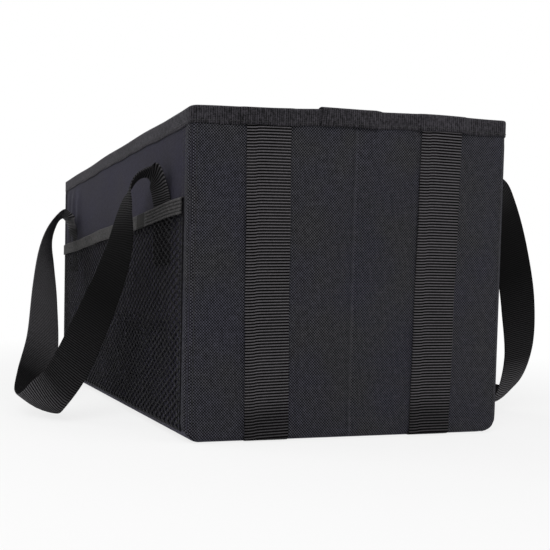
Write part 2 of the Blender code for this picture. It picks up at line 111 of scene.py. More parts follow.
# %% A small language for materials
class Number:
    """One number in a material. Arithmetic on it adds Math nodes, also after a plain number."""

    def __init__(self, finish, output):
        self.finish = finish
        self.output = output

    def math(self, operation, *others):
        values = dict(enumerate((self, *others)))
        return self.finish.node("ShaderNodeMath", {"operation": operation}, values)

    def before(self, operation, first):
        return self.finish.node("ShaderNodeMath", {"operation": operation}, {0: first, 1: self})

    def __add__(self, other):
        return self.math("ADD", other)

    def __radd__(self, other):
        return self.before("ADD", other)

    def __sub__(self, other):
        return self.math("SUBTRACT", other)

    def __rsub__(self, other):
        return self.before("SUBTRACT", other)

    def __mul__(self, other):
        return self.math("MULTIPLY", other)

    def __rmul__(self, other):
        return self.before("MULTIPLY", other)

    def __truediv__(self, other):
        return self.math("DIVIDE", other)

    def __pow__(self, other):
        return self.math("POWER", other)

    def __abs__(self):
        return self.math("ABSOLUTE")

    def sine(self):
        return self.math("SINE")

    def highest(self, other):
        return self.math("MAXIMUM", other)

    def held(self, low=0.0, high=1.0):
        return self.math("MAXIMUM", low).math("MINIMUM", high)


class Finish:
    """Makes one material around the Principled shader."""

    def __init__(self, name, constants):
        self.material = bpy.data.materials.new(name)
        self.material.use_nodes = True
        self.tree = self.material.node_tree
        self.shader = self.tree.nodes["Principled BSDF"]
        for socket, value in constants.items():
            self.shader.inputs[socket].default_value = value

    def join(self, value, socket):
        """Link a Number to a socket, or set a plain value on it."""
        if isinstance(value, Number):
            self.tree.links.new(value.output, socket)
        else:
            socket.default_value = value

    def node(self, kind, settings=None, sockets=None, output=0):
        """Any node: its settings are set first, then its sockets; one output comes back."""
        made = self.tree.nodes.new(kind)
        for key, value in (settings or {}).items():
            setattr(made, key, value)
        for key, value in (sockets or {}).items():
            self.join(value, made.inputs[key])
        return Number(self, made.outputs[output])

    def flat_place(self):
        """The two numbers of the piece's UV map, which are metres along and across the cloth."""
        uv = self.node("ShaderNodeUVMap", {"uv_map": "cloth"})
        return [self.node("ShaderNodeSeparateXYZ", None, {0: uv}, axis) for axis in (0, 1)]

    def grain(self, scale, detail=2.0, stretch=(1.0, 1.0, 1.0), place=None):
        """Noise from 0 to 1 on Object coordinates, scale to the metre, drawn out by stretch."""
        if place is None:
            place = self.node("ShaderNodeTexCoord", output="Object")
        drawn = self.node("ShaderNodeMapping", None, {"Vector": place, "Scale": stretch})
        sockets = {"Vector": drawn, "Scale": scale, "Detail": detail}
        return self.node("ShaderNodeTexNoise", None, sockets)

    def colour(self, share, dark, light):
        """Between two colours, by a share from 0 to 1."""
        sockets = {0: share, 6: (*dark, 1.0), 7: (*light, 1.0)}
        return self.node("ShaderNodeMix", {"data_type": "RGBA"}, sockets, 2)

    def finish(self, colour, roughness, height, depth):
        """Feed the shader: colour, roughness, and a bump whose full height is depth metres."""
        bump = self.node("ShaderNodeBump", None, {"Height": height, "Distance": depth})
        self.join(colour, self.shader.inputs["Base Color"])
        self.join(roughness, self.shader.inputs["Roughness"])
        self.join(bump, self.shader.inputs["Normal"])
        return self.material


print("shader language ready")

# %% [markdown]
# ## Woven cloth
#
# The walls are a coarse polyester plain weave. Two sets of threads cross, and each goes over
# one and under the next. With a and b as the sines of the place across each set, |a| + ab is
# the height of the upright threads and |b| - ab that of the level ones, and the cloth's face is
# the higher of the two. The same two numbers give the colour, as painted light and shade: the
# tops of the upright threads are painted light, as if they catch the light, and the holes
# between threads are painted dark as shade. That is what makes the slanted lines that the eye
# sees on such a cloth.

# %% Woven cloth
WALL_THREAD, LINING_THREAD = 0.00118, 0.00060


def woven_cloth(name, thread, dark, light, relief, contrast, level_tone, sheen):
    """Plain weave with threads of one width; contrast is how far the upright threads stand out in
    painted light.
    """
    cloth = Finish(name, {"Specular IOR Level": 0.09, "Sheen Weight": 0.05, "Sheen Roughness": 0.45,
                          "Sheen Tint": sheen})
    along, across = cloth.flat_place()
    place = cloth.node("ShaderNodeUVMap", {"uv_map": "cloth"})
    a = (along * (math.pi / thread)).sine()
    b = (across * (math.pi / thread)).sine()
    upright = (abs(a) + a * b) * 0.5
    level = (abs(b) - a * b) * 0.5
    height = upright.highest(level)
    yarn = cloth.grain(420.0, 3.0)
    slubs = cloth.grain(230.0, 1.0, (1.0, 1.0, 1.0), place)
    clouds = cloth.grain(9.0, 3.0, (1.0, 1.0, 1.6))
    wear_and_shade = cloth.node("ShaderNodeAttribute", {"attribute_name": "wear_and_shade"}, None, "Fac")
    # The tone paints light and shade: raised and upright threads lighter, the holes between darker.
    tone = level_tone + (height - 0.6) * contrast * 0.5 + (upright - level) * contrast
    tone = tone + (yarn - 0.5) * 0.5 + (slubs - 0.5) * 0.9 * contrast
    tone = tone + (clouds - 0.5) * 0.30 + wear_and_shade * 0.28
    slanted = ((along + across) * (math.pi / thread)).sine()
    tone = tone + slanted * 0.20 * contrast
    cool = (light[0] * 0.94, light[1] * 0.94, light[2] * 1.14)
    patches = (cloth.grain(26.0, 2.0) * 3.0 - 1.0).held()
    sockets = {0: tone.held(), 6: (*dark, 1.0), 7: cloth.colour(patches, light, cool)}
    colour = cloth.node("ShaderNodeMix", {"data_type": "RGBA"}, sockets, 2)
    roughness = (0.92 - height * 0.12 - wear_and_shade * 0.08).held(0.5, 0.95)
    return cloth.finish(colour, roughness, height + yarn * 0.35, relief)


front_cloth = woven_cloth("front_weave", WALL_THREAD, (0.0008, 0.0008, 0.0010),
                          (0.068, 0.067, 0.074), 0.00034, 1.60, 0.33, (0.85, 0.87, 1.0, 1.0))
# The side weave is a darker, bluer copy of the wall cloth with less weave contrast: painted shade
# that matches how the side walls are lit.
side_cloth_painted_shade = woven_cloth("side_weave_painted_shade", WALL_THREAD, (0.0040, 0.0036, 0.0060),
                         (0.040, 0.037, 0.049), 0.00010, 0.30, 0.42, (0.80, 0.82, 1.0, 1.0))
lining_cloth = woven_cloth("lining_weave", LINING_THREAD, (0.014, 0.014, 0.016),
                           (0.050, 0.050, 0.054), 0.00006, 0.12, 0.45, (1.0, 1.0, 1.0, 1.0))
print("cloths:", front_cloth.name, side_cloth_painted_shade.name, lining_cloth.name)

# %% [markdown]
# ## Tape
#
# The rim and the pockets are bound with a thin ribbed tape. Its ribs run across it, close to two
# millimetres apart, so they stand upright on the rim. They are not perfectly even: a coarse
# noise makes some of them stand out and lets others fade.

# %% Binding tape
TAPE_RIB, TAPE_THREAD = 0.00190, 0.00090


def binding_tape(name, dark, light, sheen):
    """Ribs across the tape: |sin| of the distance along it, made uneven by noise."""
    tape = Finish(name, {"Specular IOR Level": 0.10, "Sheen Weight": 0.06, "Sheen Tint": sheen})
    along, across = tape.flat_place()
    place = tape.node("ShaderNodeUVMap", {"uv_map": "cloth"})
    uneven = tape.grain(420.0, 2.0, (1.0, 0.60, 1.0), place)
    threads = tape.grain(900.0, 2.0, (0.5, 1.6, 1.0), place)
    clouds = tape.grain(22.0, 2.0)
    rib = abs((along * (math.pi / TAPE_RIB)).sine())
    selvage = abs((across * (math.pi / TAPE_THREAD)).sine())
    height = rib * 0.8 + selvage * 0.2
    wear_and_shade = tape.node("ShaderNodeAttribute", {"attribute_name": "wear_and_shade"}, None, "Fac")
    # The ribs are painted lighter than the gaps between them, as painted highlight and shade.
    tone = rib * 0.60 + (uneven - 0.5) * 1.7 + (threads - 0.5) * 1.5
    tone = tone + (clouds - 0.5) * 0.50 + wear_and_shade * 0.22
    colour = tape.colour((tone + 0.02).held(), dark, light)
    roughness = (0.88 - rib * 0.12).held(0.5, 0.95)
    return tape.finish(colour, roughness, height + threads * 0.4, 0.00025)


rim_tape = binding_tape("rim_tape", (0.0012, 0.0012, 0.0016), (0.050, 0.046, 0.054),
                        (0.9, 0.9, 1.0, 1.0))
pocket_tape = binding_tape("pocket_tape", (0.0030, 0.0030, 0.0030), (0.068, 0.066, 0.068),
                           (1.0, 0.97, 0.95, 1.0))
print("tapes:", rim_tape.name, pocket_tape.name)

# %% [markdown]
# ## Webbing
#
# Strap webbing has thick ribs across it. The ribs are real geometry, made further down, and the
# material knows where they are, because the UV map counts metres along the strap with each
# thread's own shift: the ridges are painted grey, as wear and painted highlight, and the furrows
# black, as painted shade. Fine threads run lengthwise over the ribs.

# %% Webbing
WARP_THREAD = 0.00075


def strap_webbing(name, pitch, dark, light, sharp, fibre):
    """Ridge brightness, a painted highlight over painted furrow shade, is a power of |sin| of the
    distance along, times the fine threads.
    """
    web = Finish(name, {"Specular IOR Level": 0.03, "Sheen Weight": 0.0})
    across, along = web.flat_place()
    place = web.node("ShaderNodeUVMap", {"uv_map": "cloth"})
    ridge = abs((along * (math.pi / pitch)).sine())
    threads = abs((across * (math.pi / WARP_THREAD)).sine())
    fuzz = web.grain(620.0, 2.0, (1.0, 0.55, 1.0), place)
    clouds = web.grain(30.0, 2.0)
    tone_and_painted_light = web.node("ShaderNodeAttribute", {"attribute_name": "wear_and_shade"}, None, "Fac")
    worn = 0.70 - fibre * 0.6 + threads * 0.25 + fuzz * fibre
    # Painted light and shade: ridges lighter as highlight and wear, furrows near black as shade.
    tone = ridge ** sharp * worn + (clouds - 0.5) * 0.10
    colour = web.colour((tone * tone_and_painted_light).held(), dark, light)
    roughness = (0.86 - ridge * 0.16).held(0.4, 0.95)
    return web.finish(colour, roughness, threads * 0.5 + fuzz * 0.8 + ridge * 0.4, 0.00012)


belt_webbing = strap_webbing("belt_webbing", RIB_PITCH, (0.0001, 0.0001, 0.0001),
                             (0.138, 0.131, 0.140), 5.0, 0.55)
handle_webbing = strap_webbing("handle_webbing", HANDLE_RIB_PITCH, (0.0010, 0.0010, 0.0010),
                               (0.165, 0.160, 0.170), 2.6, 0.60)
print("webbings:", belt_webbing.name, handle_webbing.name)

# %% [markdown]
# ## Net, thread and board
#
# The net is knitted from a dull dark yarn, and sewing thread is a little shinier than the cloth
# that it holds. Inside the walls are stiff boards; nobody sees them until a wall is opened, and
# a pressed grey board with fibres in it is what is found there.

# %% Yarn, thread and board
def yarn_finish(name, dark, light, gloss, scale):
    """Noise on Object coordinates, fine enough to read as fibres."""
    yarn = Finish(name, {"Specular IOR Level": gloss, "Sheen Weight": 0.04})
    fibres = yarn.grain(scale, 3.0, (1.0, 1.0, 0.6))
    clouds = yarn.grain(24.0, 2.0)
    tone = fibres * 0.9 + (clouds - 0.5) * 0.5
    colour = yarn.colour(tone.held(), dark, light)
    return yarn.finish(colour, (0.85 - fibres * 0.2).held(0.4, 0.95), fibres, 0.00012)


net_yarn = yarn_finish("net_yarn", (0.0005, 0.0005, 0.0007), (0.011, 0.0105, 0.0135), 0.05, 1400.0)
sewing_thread = yarn_finish("sewing_thread", (0.004, 0.004, 0.004), (0.052, 0.052, 0.054),
                            0.30, 2200.0)
stiff_board = yarn_finish("stiff_board", (0.050, 0.050, 0.048), (0.110, 0.108, 0.104), 0.30, 500.0)
FRONT_BOARDS = ["front_board_left", "front_board_right"]
BACK_BOARDS = ["back_board_left", "back_board_right"]
SIDE_BOARDS = ["side_board_left", "side_board_right"]
for word in FRONT_BOARDS + BACK_BOARDS + SIDE_BOARDS:
    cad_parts[word].material_slots[0].material = stiff_board
print("yarns:", net_yarn.name, sewing_thread.name, stiff_board.name)

# %% [markdown]
# ## From a grid of points to a piece
#
# Almost every surface here is a function of two numbers, worked out at once for a whole grid.
# These helpers join the grid's points into squares and make the piece: its UV map holds metres
# of cloth, a value at each point says where hands and edges have rubbed it and where light and
# shade are painted into its colour, and a Solidify modifier gives a sheet its thickness to both
# sides.

# %% Piece makers
SEAM_INSET = CORNER_ROUND * (1.0 - math.sqrt(0.5))


def grid_faces(rows, columns, closed=False):
    """The four corner numbers of each square, for points numbered row by row."""
    last = columns if closed else columns - 1
    row, column = np.meshgrid(np.arange(rows - 1), np.arange(last), indexing="ij")
    ahead = (column + 1) % columns
    corners = (row * columns + column, row * columns + ahead,
               (row + 1) * columns + ahead, (row + 1) * columns + column)
    return np.stack(corners, axis=-1).reshape(-1, 4).tolist()


def new_piece(name, points, faces, material, uv, wear_and_shade=None, thickness=0.0, replaced=()):
    """A mesh piece on the body root. uv and the wear and painted light and shade are given for each
    point.
    """
    data = bpy.data.meshes.new(name)
    data.from_pydata(points.reshape(-1, 3).tolist(), [], faces)
    data.shade_smooth()
    corner = np.empty(len(data.loops), np.int64)
    data.loops.foreach_get("vertex_index", corner)
    layer = data.uv_layers.new(name="cloth")
    layer.data.foreach_set("uv", uv.reshape(-1, 2)[corner].astype(np.float32).ravel())
    # This attribute carries real wear and painted light and shade.
    rubbed_and_shaded = data.attributes.new("wear_and_shade", "FLOAT", "POINT")
    amount = np.zeros(len(data.vertices)) if wear_and_shade is None else wear_and_shade.ravel()
    rubbed_and_shaded.data.foreach_set("value", amount.astype(np.float32))
    data.materials.append(material)
    made = bpy.data.objects.new(name, data)
    bpy.context.scene.collection.objects.link(made)
    if thickness:
        shell = made.modifiers.new("thickness", "SOLIDIFY")
        shell.thickness = thickness
        shell.offset = 0.0
    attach(made, "root")
    if replaced:
        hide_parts(*replaced)
    return made


def joined(*parts):
    """Arrays of one shape side by side, as the last axis: x, y and z become points."""
    return np.stack(parts, axis=-1)


def over_columns(values, count):
    """One value for each row of a grid, repeated over its columns."""
    return np.repeat(values[:, None], count, axis=1)


def over_rows(values, count):
    """One value for each column of a grid, repeated over its rows."""
    return np.repeat(values[None, :], count, axis=0)


def repeated(vector, count):
    """One vector for each of count points."""
    return np.repeat([vector], count, axis=0)


def along_line(points):
    """Distance along a line of points, from its start."""
    steps = np.linalg.norm(np.diff(points, axis=0), axis=1)
    return np.concatenate([[0.0], np.cumsum(steps)])


def read_off(places, run, values):
    """The columns of values, known at the distances run, read off at other distances."""
    return joined(*[np.interp(places, run, column) for column in values.T])


def unit(vectors):
    """Each vector of a list at length one."""
    return vectors / np.linalg.norm(vectors, axis=1)[:, None]


def wave(u, v, seed, length):
    """A soft uneven surface from 0 to 1: three crossing sines whose phases come from a seed."""
    phase = np.random.default_rng(seed).uniform(0.0, 2.0 * math.pi, 6)
    turn = 2.0 * math.pi / length
    total = np.sin(turn * u + phase[0]) * np.sin(turn * 0.7 * v + phase[1])
    total = total + 0.6 * np.sin(turn * (1.7 * u + 0.9 * v) + phase[2])
    total = total + 0.4 * np.sin(turn * (2.6 * v - 1.3 * u) + phase[3])
    return 0.5 + total / 4.0


def soft_step(value):
    """An even ramp from 0 to 1."""
    share = np.clip(value, 0.0, 1.0)
    return share * share * (3.0 - 2.0 * share)


def round_in(distance):
    """How far a wall has turned in at a distance from its edge: a quarter circle."""
    short = np.clip(CORNER_ROUND - distance, 0.0, CORNER_ROUND)
    return CORNER_ROUND - np.sqrt(CORNER_ROUND ** 2 - short ** 2)


def edge_steps(length, step):
    """Distances from 0 to length: close together in both end roundings, step apart between."""
    near = SEAM_INSET + (CORNER_ROUND * 1.1 - SEAM_INSET) * np.linspace(0.0, 1.0, 8) ** 1.3
    count = max(2, int(round((length - 2 * near[-1]) / step)))
    middle = np.linspace(near[-1], length - near[-1], count + 1)[1:-1]
    return np.concatenate([near, middle, length - near[::-1]])


print("the seam lies", round(1000 * SEAM_INSET, 2), "mm in from both faces")

# %% [markdown]
# ## The front and back panels
#
# Each panel is one flat cut of cloth. It could be a plane with a bevel, but the real one turns
# in along three sides, and it has a faint fold down the middle where the box folds flat. So its
# depth is a function of the distance to its outline, with the fold and a very shallow unevenness
# added. The grid's rows get shorter at the rounded bottom corners. At both sides the cloth goes
# on round the corner and lies over the end of the side wall's cloth, where it is sewn down.

# %% Front and back panels
TURN_END, TURN_OVER = 0.0080, 0.0007


def turned_round(points, uv, rubbed_and_shaded, face, outward):
    """The panel's cloth goes on round both corners, over the end of the side cloth, to its seam."""
    z = points[:, 0, 2][:, None]
    length = 0.06 + 0.94 * soft_step((z - 0.002) / 0.012)
    angle = np.radians(45.0 + length * np.array([[9.0, 18.0, 27.0, 36.0, 45.0, 45.0, 45.0]]))
    back = length * (TURN_END - CORNER_ROUND) * np.array([[0.0, 0.0, 0.0, 0.0, 0.0, 0.5, 1.0]])
    below_rim = 1.0 - soft_step((z - HEIGHT + RIM_FLAP + 0.005) / 0.004)
    over = TURN_OVER * below_rim * np.sin(2.0 * angle - np.pi / 2)
    low = np.arcsin(np.clip((EDGE_RADIUS - z) / EDGE_RADIUS, 0.0, 1.0))
    reach = EDGE_RADIUS - CORNER_ROUND + (CORNER_ROUND + over) * np.sin(angle)
    x = WIDTH / 2 - EDGE_RADIUS + reach * np.cos(low)
    y = face - outward * (CORNER_ROUND - (CORNER_ROUND + over) * np.cos(angle) + back)
    z = np.where(z >= EDGE_RADIUS, z, EDGE_RADIUS - reach * np.sin(low))
    run = WIDTH / 2 + CORNER_ROUND * (angle - np.pi / 4) + back
    right, left = joined(x, y, z), joined(-x, y, z)[:, ::-1]
    right_uv, left_uv = joined(run + WIDTH, z), joined(WIDTH - run, z)[:, ::-1]
    # The cloth turned round the corner is painted a little darker, as painted shade.
    turn_shade = np.full(x.shape, -0.2)
    return [np.concatenate(parts, axis=1) for parts in
            ((left, points, right), (left_uv, uv, right_uv), (turn_shade, rubbed_and_shaded, turn_shade))]


def panel(name, face, outward, seed, replaced):
    """Depth = quarter circle of the distance to the outline, less a soft wave, plus the fold."""
    heights = edge_steps(HEIGHT + CORNER_ROUND, GRID_STEP)
    heights = heights[heights < WALL_TOP]
    share = edge_steps(WIDTH, GRID_STEP) / (WIDTH / 2) - 1.0
    beside_fold = np.array([0.0004, 0.0012, 0.0024, 0.0038]) / (WIDTH / 2)
    share = share[np.abs(share) > 0.0050 / (WIDTH / 2)]
    share = np.sort(np.concatenate([share, -beside_fold, beside_fold]))
    low = np.clip(EDGE_RADIUS - heights, 0.0, EDGE_RADIUS)
    half = WIDTH / 2 - EDGE_RADIUS + np.sqrt(EDGE_RADIUS ** 2 - low ** 2)
    x = half[:, None] * share[None, :]
    z = over_columns(heights, x.shape[1])
    out = np.clip(np.abs(x) - (WIDTH / 2 - EDGE_RADIUS), 0.0, None)
    down = np.clip(EDGE_RADIUS - z, 0.0, None)
    corner = EDGE_RADIUS - np.hypot(out, down)
    straight = np.minimum(WIDTH / 2 - np.abs(x), z)
    distance = np.where((out > 0) & (down > 0), corner, straight)
    inside = soft_step((distance - CORNER_ROUND) / 0.020)
    depth = round_in(distance) - 0.0006 * wave(x, z, seed, 0.16) * inside
    fold = np.exp(-(x / 0.0016) ** 2) * 0.0004 + np.exp(-(x / 0.007) ** 2) * 0.0005
    depth = depth + fold * inside
    y = face - outward * (depth + CLOTH / 2)
    points = joined(x, y, z)
    rubbed_and_shaded = np.exp(-(distance / RUBBED_REACH) ** 2) * 0.1
    # Painted highlight along the crest of the fold, and painted shade just beside it on the -x
    # side.
    rubbed_and_shaded = rubbed_and_shaded + np.exp(-((x - 0.0004) / 0.0010) ** 2) * 1.6
    rubbed_and_shaded = rubbed_and_shaded - np.exp(-((x + 0.0024) / 0.0014) ** 2)
    uv = joined(x + WIDTH, z)
    points, uv, rubbed_and_shaded = turned_round(points, uv, rubbed_and_shaded, face, outward)
    faces = grid_faces(*rubbed_and_shaded.shape)
    if outward < 0:
        faces = [corners[::-1] for corners in faces]
    return new_piece(name, points, faces, front_cloth, uv, rubbed_and_shaded, CLOTH, replaced)


panel("front_panel", FRONT, -1.0, 3, ["front_cloth"])
panel("back_panel", BACK, 1.0, 8, ["back_cloth"])
print("panels made")

# %% [markdown]
# ## The strip that makes both sides and the underside
#
# One long strip goes down the left wall, under the box and up the right wall. It is a U-shaped
# line carried from front to back, and it turns in at both ends, under the panels' cloth. Over a
# stiff board the cloth of the side walls is a little slack: near the back it falls in three soft
# upright folds, which end below the rim tape.

# %% Side and base strip
FOLD_DEPTH = 0.0024
SIDE_FOLDS = ((1.0, 0.158, 0.006), (0.8, 0.181, 0.005), (0.6, 0.133, 0.010))


def u_line(half, bottom, radius, top, step):
    """Left wall, floor and right wall as points (x, z), with the outward direction at each."""
    side = np.arange(top, bottom + radius, -step)
    turn = np.linspace(0.0, math.pi / 2, 13)[1:]
    floor = np.linspace(radius - half, half - radius, int((2 * half - 2 * radius) / step) + 1)[1:]
    bend = -half + radius - radius * np.cos(turn)
    x = np.concatenate([np.full(len(side) + 1, -half), bend, floor])
    z = np.concatenate([side, [bottom + radius], bottom + radius - radius * np.sin(turn),
                        np.full(len(floor), bottom)])
    nx = np.concatenate([np.full(len(side) + 1, -1.0), -np.cos(turn), np.zeros(len(floor))])
    nz = np.concatenate([np.zeros(len(side) + 1), -np.sin(turn), np.full(len(floor), -1.0)])
    up = slice(len(side) + len(turn), None, -1)
    up_x, up_z, up_nx = x[up], z[up], nx[up]
    line = joined(np.concatenate([x, -up_x]), np.concatenate([z, up_z]))
    return line, joined(np.concatenate([nx, -up_nx]), np.concatenate([nz, nz[up]]))


def side_folds(y, z):
    """Soft upright folds near the back of a side wall, deeper higher up."""
    folds = sum(share * np.exp(-((y - place) / reach) ** 2) for share, place, reach in SIDE_FOLDS)
    below_tape = soft_step((HEIGHT - RIM_FLAP - 0.002 - z) / 0.022)
    return FOLD_DEPTH * folds * soft_step((z - 0.11) / 0.06) * below_tape


def strip():
    """Point = U line + outward * (folds + wave - quarter circle of the distance to the ends)."""
    half, radius = WIDTH / 2 - CLOTH / 2, EDGE_RADIUS - CLOTH / 2
    line, normal = u_line(half, CLOTH / 2, radius, WALL_TOP, GRID_STEP)
    reach = edge_steps(DEPTH, GRID_STEP)
    y = over_rows(FRONT + reach, len(line))
    z = over_columns(line[:, 1], len(reach))
    run = along_line(line)
    distance = np.minimum(reach, DEPTH - reach)[None, :]
    inside = soft_step((distance - CORNER_ROUND) / 0.020)
    standing = soft_step((z - EDGE_RADIUS) / 0.04)
    out = (0.0005 * wave(y, z, 5, 0.15) + side_folds(y, z)) * inside * standing - round_in(distance)
    x = line[:, 0][:, None] + normal[:, 0][:, None] * out
    z = z + normal[:, 1][:, None] * out
    points = joined(x, y, z)
    uv = joined(y + DEPTH, over_columns(run, len(reach)))
    rubbed_and_shaded = np.exp(-(distance / RUBBED_REACH) ** 2) * np.ones_like(y) * 0.8
    # Below the pocket top the side cloth is painted much lighter: painted light against the net's
    # shade, so it shows through the holes.
    rubbed_and_shaded = rubbed_and_shaded + 2.4 * soft_step((0.172 - z) / 0.008)
    return new_piece("side_and_base_strip", points, grid_faces(*y.shape), side_cloth_painted_shade,
                     uv, rubbed_and_shaded, CLOTH, ["side_and_base_cloth"])


strip()
print("strip made")

# %% [markdown]
# ## The linings
#
# Inside, a thin lining is cut like the outer cloth: a front and a back panel, and one strip for
# the sides and the floor. It hangs a little loose between its seams, so it is not flat either.

# %% Linings
LINING_ROUND, LINING_SLACK = 0.0100, 0.0011


def lining_panel(name, face, outward, seed, replaced):
    """A flat panel with a soft wave towards the middle of the box."""
    half = WIDTH / 2 - WALL - 0.0002
    heights = np.linspace(0.0012, LINING_ROUND, 8)
    heights = np.concatenate([heights, np.linspace(0.0145, WALL_TOP, 56)])
    low = np.clip(LINING_ROUND - heights, 0.0, LINING_ROUND)
    edge = half - LINING_ROUND + np.sqrt(LINING_ROUND ** 2 - low ** 2)
    x = edge[:, None] * np.linspace(-1.0, 1.0, 64)[None, :]
    z = over_columns(heights, 64)
    calm = soft_step((edge[:, None] - np.abs(x)) / CALM_REACH) * soft_step(z / CALM_REACH)
    calm = calm * soft_step((WALL_TOP - z) / CALM_REACH)
    depth = WALL - LINING / 2 + LINING_SLACK * wave(x, z, seed, 0.11) * calm
    y = face - outward * depth
    uv = joined(x + WIDTH, z)
    faces = grid_faces(*x.shape)
    points = joined(x, y, z)
    return new_piece(name, points, faces, lining_cloth, uv, None, LINING, replaced)


def lining_strip():
    """The inner U line, waving towards the middle of the box on its walls."""
    half = WIDTH / 2 - WALL + LINING / 2
    line, normal = u_line(half, 0.0011, LINING_ROUND - 0.0002, WALL_TOP, GRID_STEP)
    reach = np.linspace(FRONT + WALL + CLEARANCE, BACK - WALL - CLEARANCE, 90)
    y = over_rows(reach, len(line))
    z = over_columns(line[:, 1], len(reach))
    calm = soft_step((BACK - WALL - np.abs(y)) / CALM_REACH)
    calm = calm * soft_step((z - 0.014) / CALM_REACH) * soft_step((WALL_TOP - z) / CALM_REACH)
    inward = LINING_SLACK * wave(y, z, 12, 0.11) * calm
    x = line[:, 0][:, None] - normal[:, 0][:, None] * inward
    points = joined(x, y, z - normal[:, 1][:, None] * inward)
    uv = joined(y + DEPTH, over_columns(along_line(line), len(reach)))
    return new_piece("lining_strip", points, grid_faces(*y.shape), lining_cloth,
                     uv, None, LINING, ["side_and_base_lining"])


lining_panel("lining_front", FRONT, -1.0, 21, ["front_lining"])
lining_panel("lining_back", BACK, 1.0, 22, ["back_lining"])
lining_strip()
print("linings made")

# %% [markdown]
# ## The base board
#
# A board wrapped in lining cloth lies loose on the floor. Seen from above it is a flat panel
# with soft edges. Its section is a flat lens: towards the edge both faces fall off as a quarter
# circle, and the outline is a rectangle whose corners are rounded by a power of sine and cosine.

# %% Base board
BOARD_EDGE = 0.0016


def base_board():
    """Two faces that meet in a half round edge; the top swells by half a millimetre."""
    low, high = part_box("base_board")
    half_x, half_y = (high.x - low.x) / 2, (high.y - low.y) / 2
    middle, thick = (low.z + high.z) / 2, (high.z - low.z) / 2
    angle = np.linspace(0.0, 2.0 * math.pi, 97)[:-1]
    shape_x = np.sign(np.cos(angle)) * np.abs(np.cos(angle)) ** 0.06
    shape_y = np.sign(np.sin(angle)) * np.abs(np.sin(angle)) ** 0.06
    ring = np.linspace(0.0, 1.0, 9) ** 1.6 * BOARD_EDGE
    top_in = np.concatenate([ring, [0.004, 0.010, 0.020, 0.040, half_x]])
    fall = thick * np.sqrt(1.0 - np.clip(1.0 - top_in / BOARD_EDGE, 0.0, 1.0) ** 2)
    height = fall + 0.0005 * soft_step(top_in / 0.02)
    inset = np.concatenate([top_in[::-1], top_in[1:]])
    z = np.concatenate([height[::-1], -fall[1:]])
    x = np.clip(half_x - inset, 0.0005, None)[:, None] * shape_x[None, :]
    y = np.clip(half_y - inset, 0.0005, None)[:, None] * shape_y[None, :]
    points = joined(x, y, over_columns(middle + z, x.shape[1]))
    faces = grid_faces(len(inset), len(angle), closed=True)
    faces.append(list(range(len(angle))))
    faces.append(list(range(x.size - 1, x.size - len(angle) - 1, -1)))
    faces = [corners[::-1] for corners in faces]
    return new_piece("covered_base_board", points, faces, lining_cloth, joined(x, y),
                     replaced=["base_board"])


base_board()
print("base board made")

# %% [markdown]
# ## Webbing along a line
#
# A strap is a flat section carried along a line. The section is two faces joined by round
# edges. Both faces rise and fall as |sin| of the distance along, which makes the ribs. A small
# shift of that distance across the width bends each rib a little, as the loom does.

# %% Ribbed webbing
RIB_ROWS = 6
SECTION = np.array([-1.0, -0.992, -0.975, -0.94, -0.80, -0.60, -0.50, -0.30, 0.0,
                    0.30, 0.60, 0.80, 0.94, 0.975, 0.992, 1.0])


def evenly(points, across, step):
    """The same line and widths at points one step apart."""
    run = along_line(points)
    places = np.linspace(0.0, run[-1], int(run[-1] / step) + 1)
    return places, read_off(places, run, points), read_off(places, run, across)


def webbing(name, points, across, width, thickness, ribs, material, foot, tone_and_painted_light, replaced,
            cup=((0.0,), (0.0,))):
    """Point = line + across * place over the width + face * half thickness * rib height.

    Over the length foot at its end the ribs are pressed flatter. A table gives how light the two
    faces are at places along the webbing, as painted light and shade on the handles and a darker
    foot on the belt straps, and cup how far its middle hangs below its edges.
    """
    pitch, furrow = ribs
    places, line, wide = evenly(points, across, pitch / RIB_ROWS)
    run = unit(np.gradient(line, axis=0))
    wide = unit(wide - run * np.sum(wide * run, axis=1)[:, None])
    face = np.cross(run, wide)
    lateral = np.concatenate([SECTION, SECTION[-2:0:-1]])
    top = np.concatenate([np.ones(len(SECTION)), -np.ones(len(SECTION) - 2)])
    edge = thickness / width
    rounding = np.sqrt(1.0 - np.clip((np.abs(lateral) - 1.0 + edge) / edge, 0.0, 1.0) ** 2)
    shift = 0.14 * pitch * np.tanh((lateral + 0.55) / 0.08) + 0.0002 * lateral
    phase = places[:, None] + shift[None, :]
    ridge = np.abs(np.sin(math.pi * phase / pitch)) ** 0.75
    pressed = soft_step((places - places[-1] + foot) / 0.006) if foot else np.zeros(len(places))
    depth = furrow * (1.0 - 0.65 * pressed)[:, None] * (1.0 - ridge) * (np.abs(lateral) < 0.985)
    swell = 1.0 - 0.10 * lateral ** 2
    half = (thickness / 2 * swell)[None, :] - depth
    off = top[None, :] * rounding[None, :] * half
    body = line[:, None, :] + wide[:, None, :] * (lateral * width / 2)[None, :, None]
    body = body + face[:, None, :] * off[:, :, None]
    hollow = (1.0 - lateral ** 2) * (1.0 - 0.35 * lateral)
    body[..., 2] -= np.interp(places, *cup)[:, None] * hollow[None, :]
    faces = grid_faces(len(places), len(lateral), closed=True)
    count = len(lateral)
    faces.append(list(range(count))[::-1])
    faces.append([body.shape[0] * count - count + corner for corner in range(count)])
    first = body[0]
    inside = np.sum(np.cross(first[1] - first[0], first[-2] - first[0]) * run[0])
    if inside > 0:
        faces = [corners[::-1] for corners in faces]
    uv = joined(over_rows(lateral * width / 2 + width, len(places)), phase)
    share = places / places[-1]
    # Lightness of each face along the webbing: painted light and shade on the handles, a darker
    # foot on the belt straps.
    tone_levels = [np.interp(share, tone_and_painted_light[0], level)[:, None] for level in tone_and_painted_light[1:]]
    rubbed_and_shaded = np.where(top[None, :] > 0, tone_levels[0], tone_levels[1])
    return new_piece(name, body, faces, material, uv, rubbed_and_shaded, 0.0, replaced)


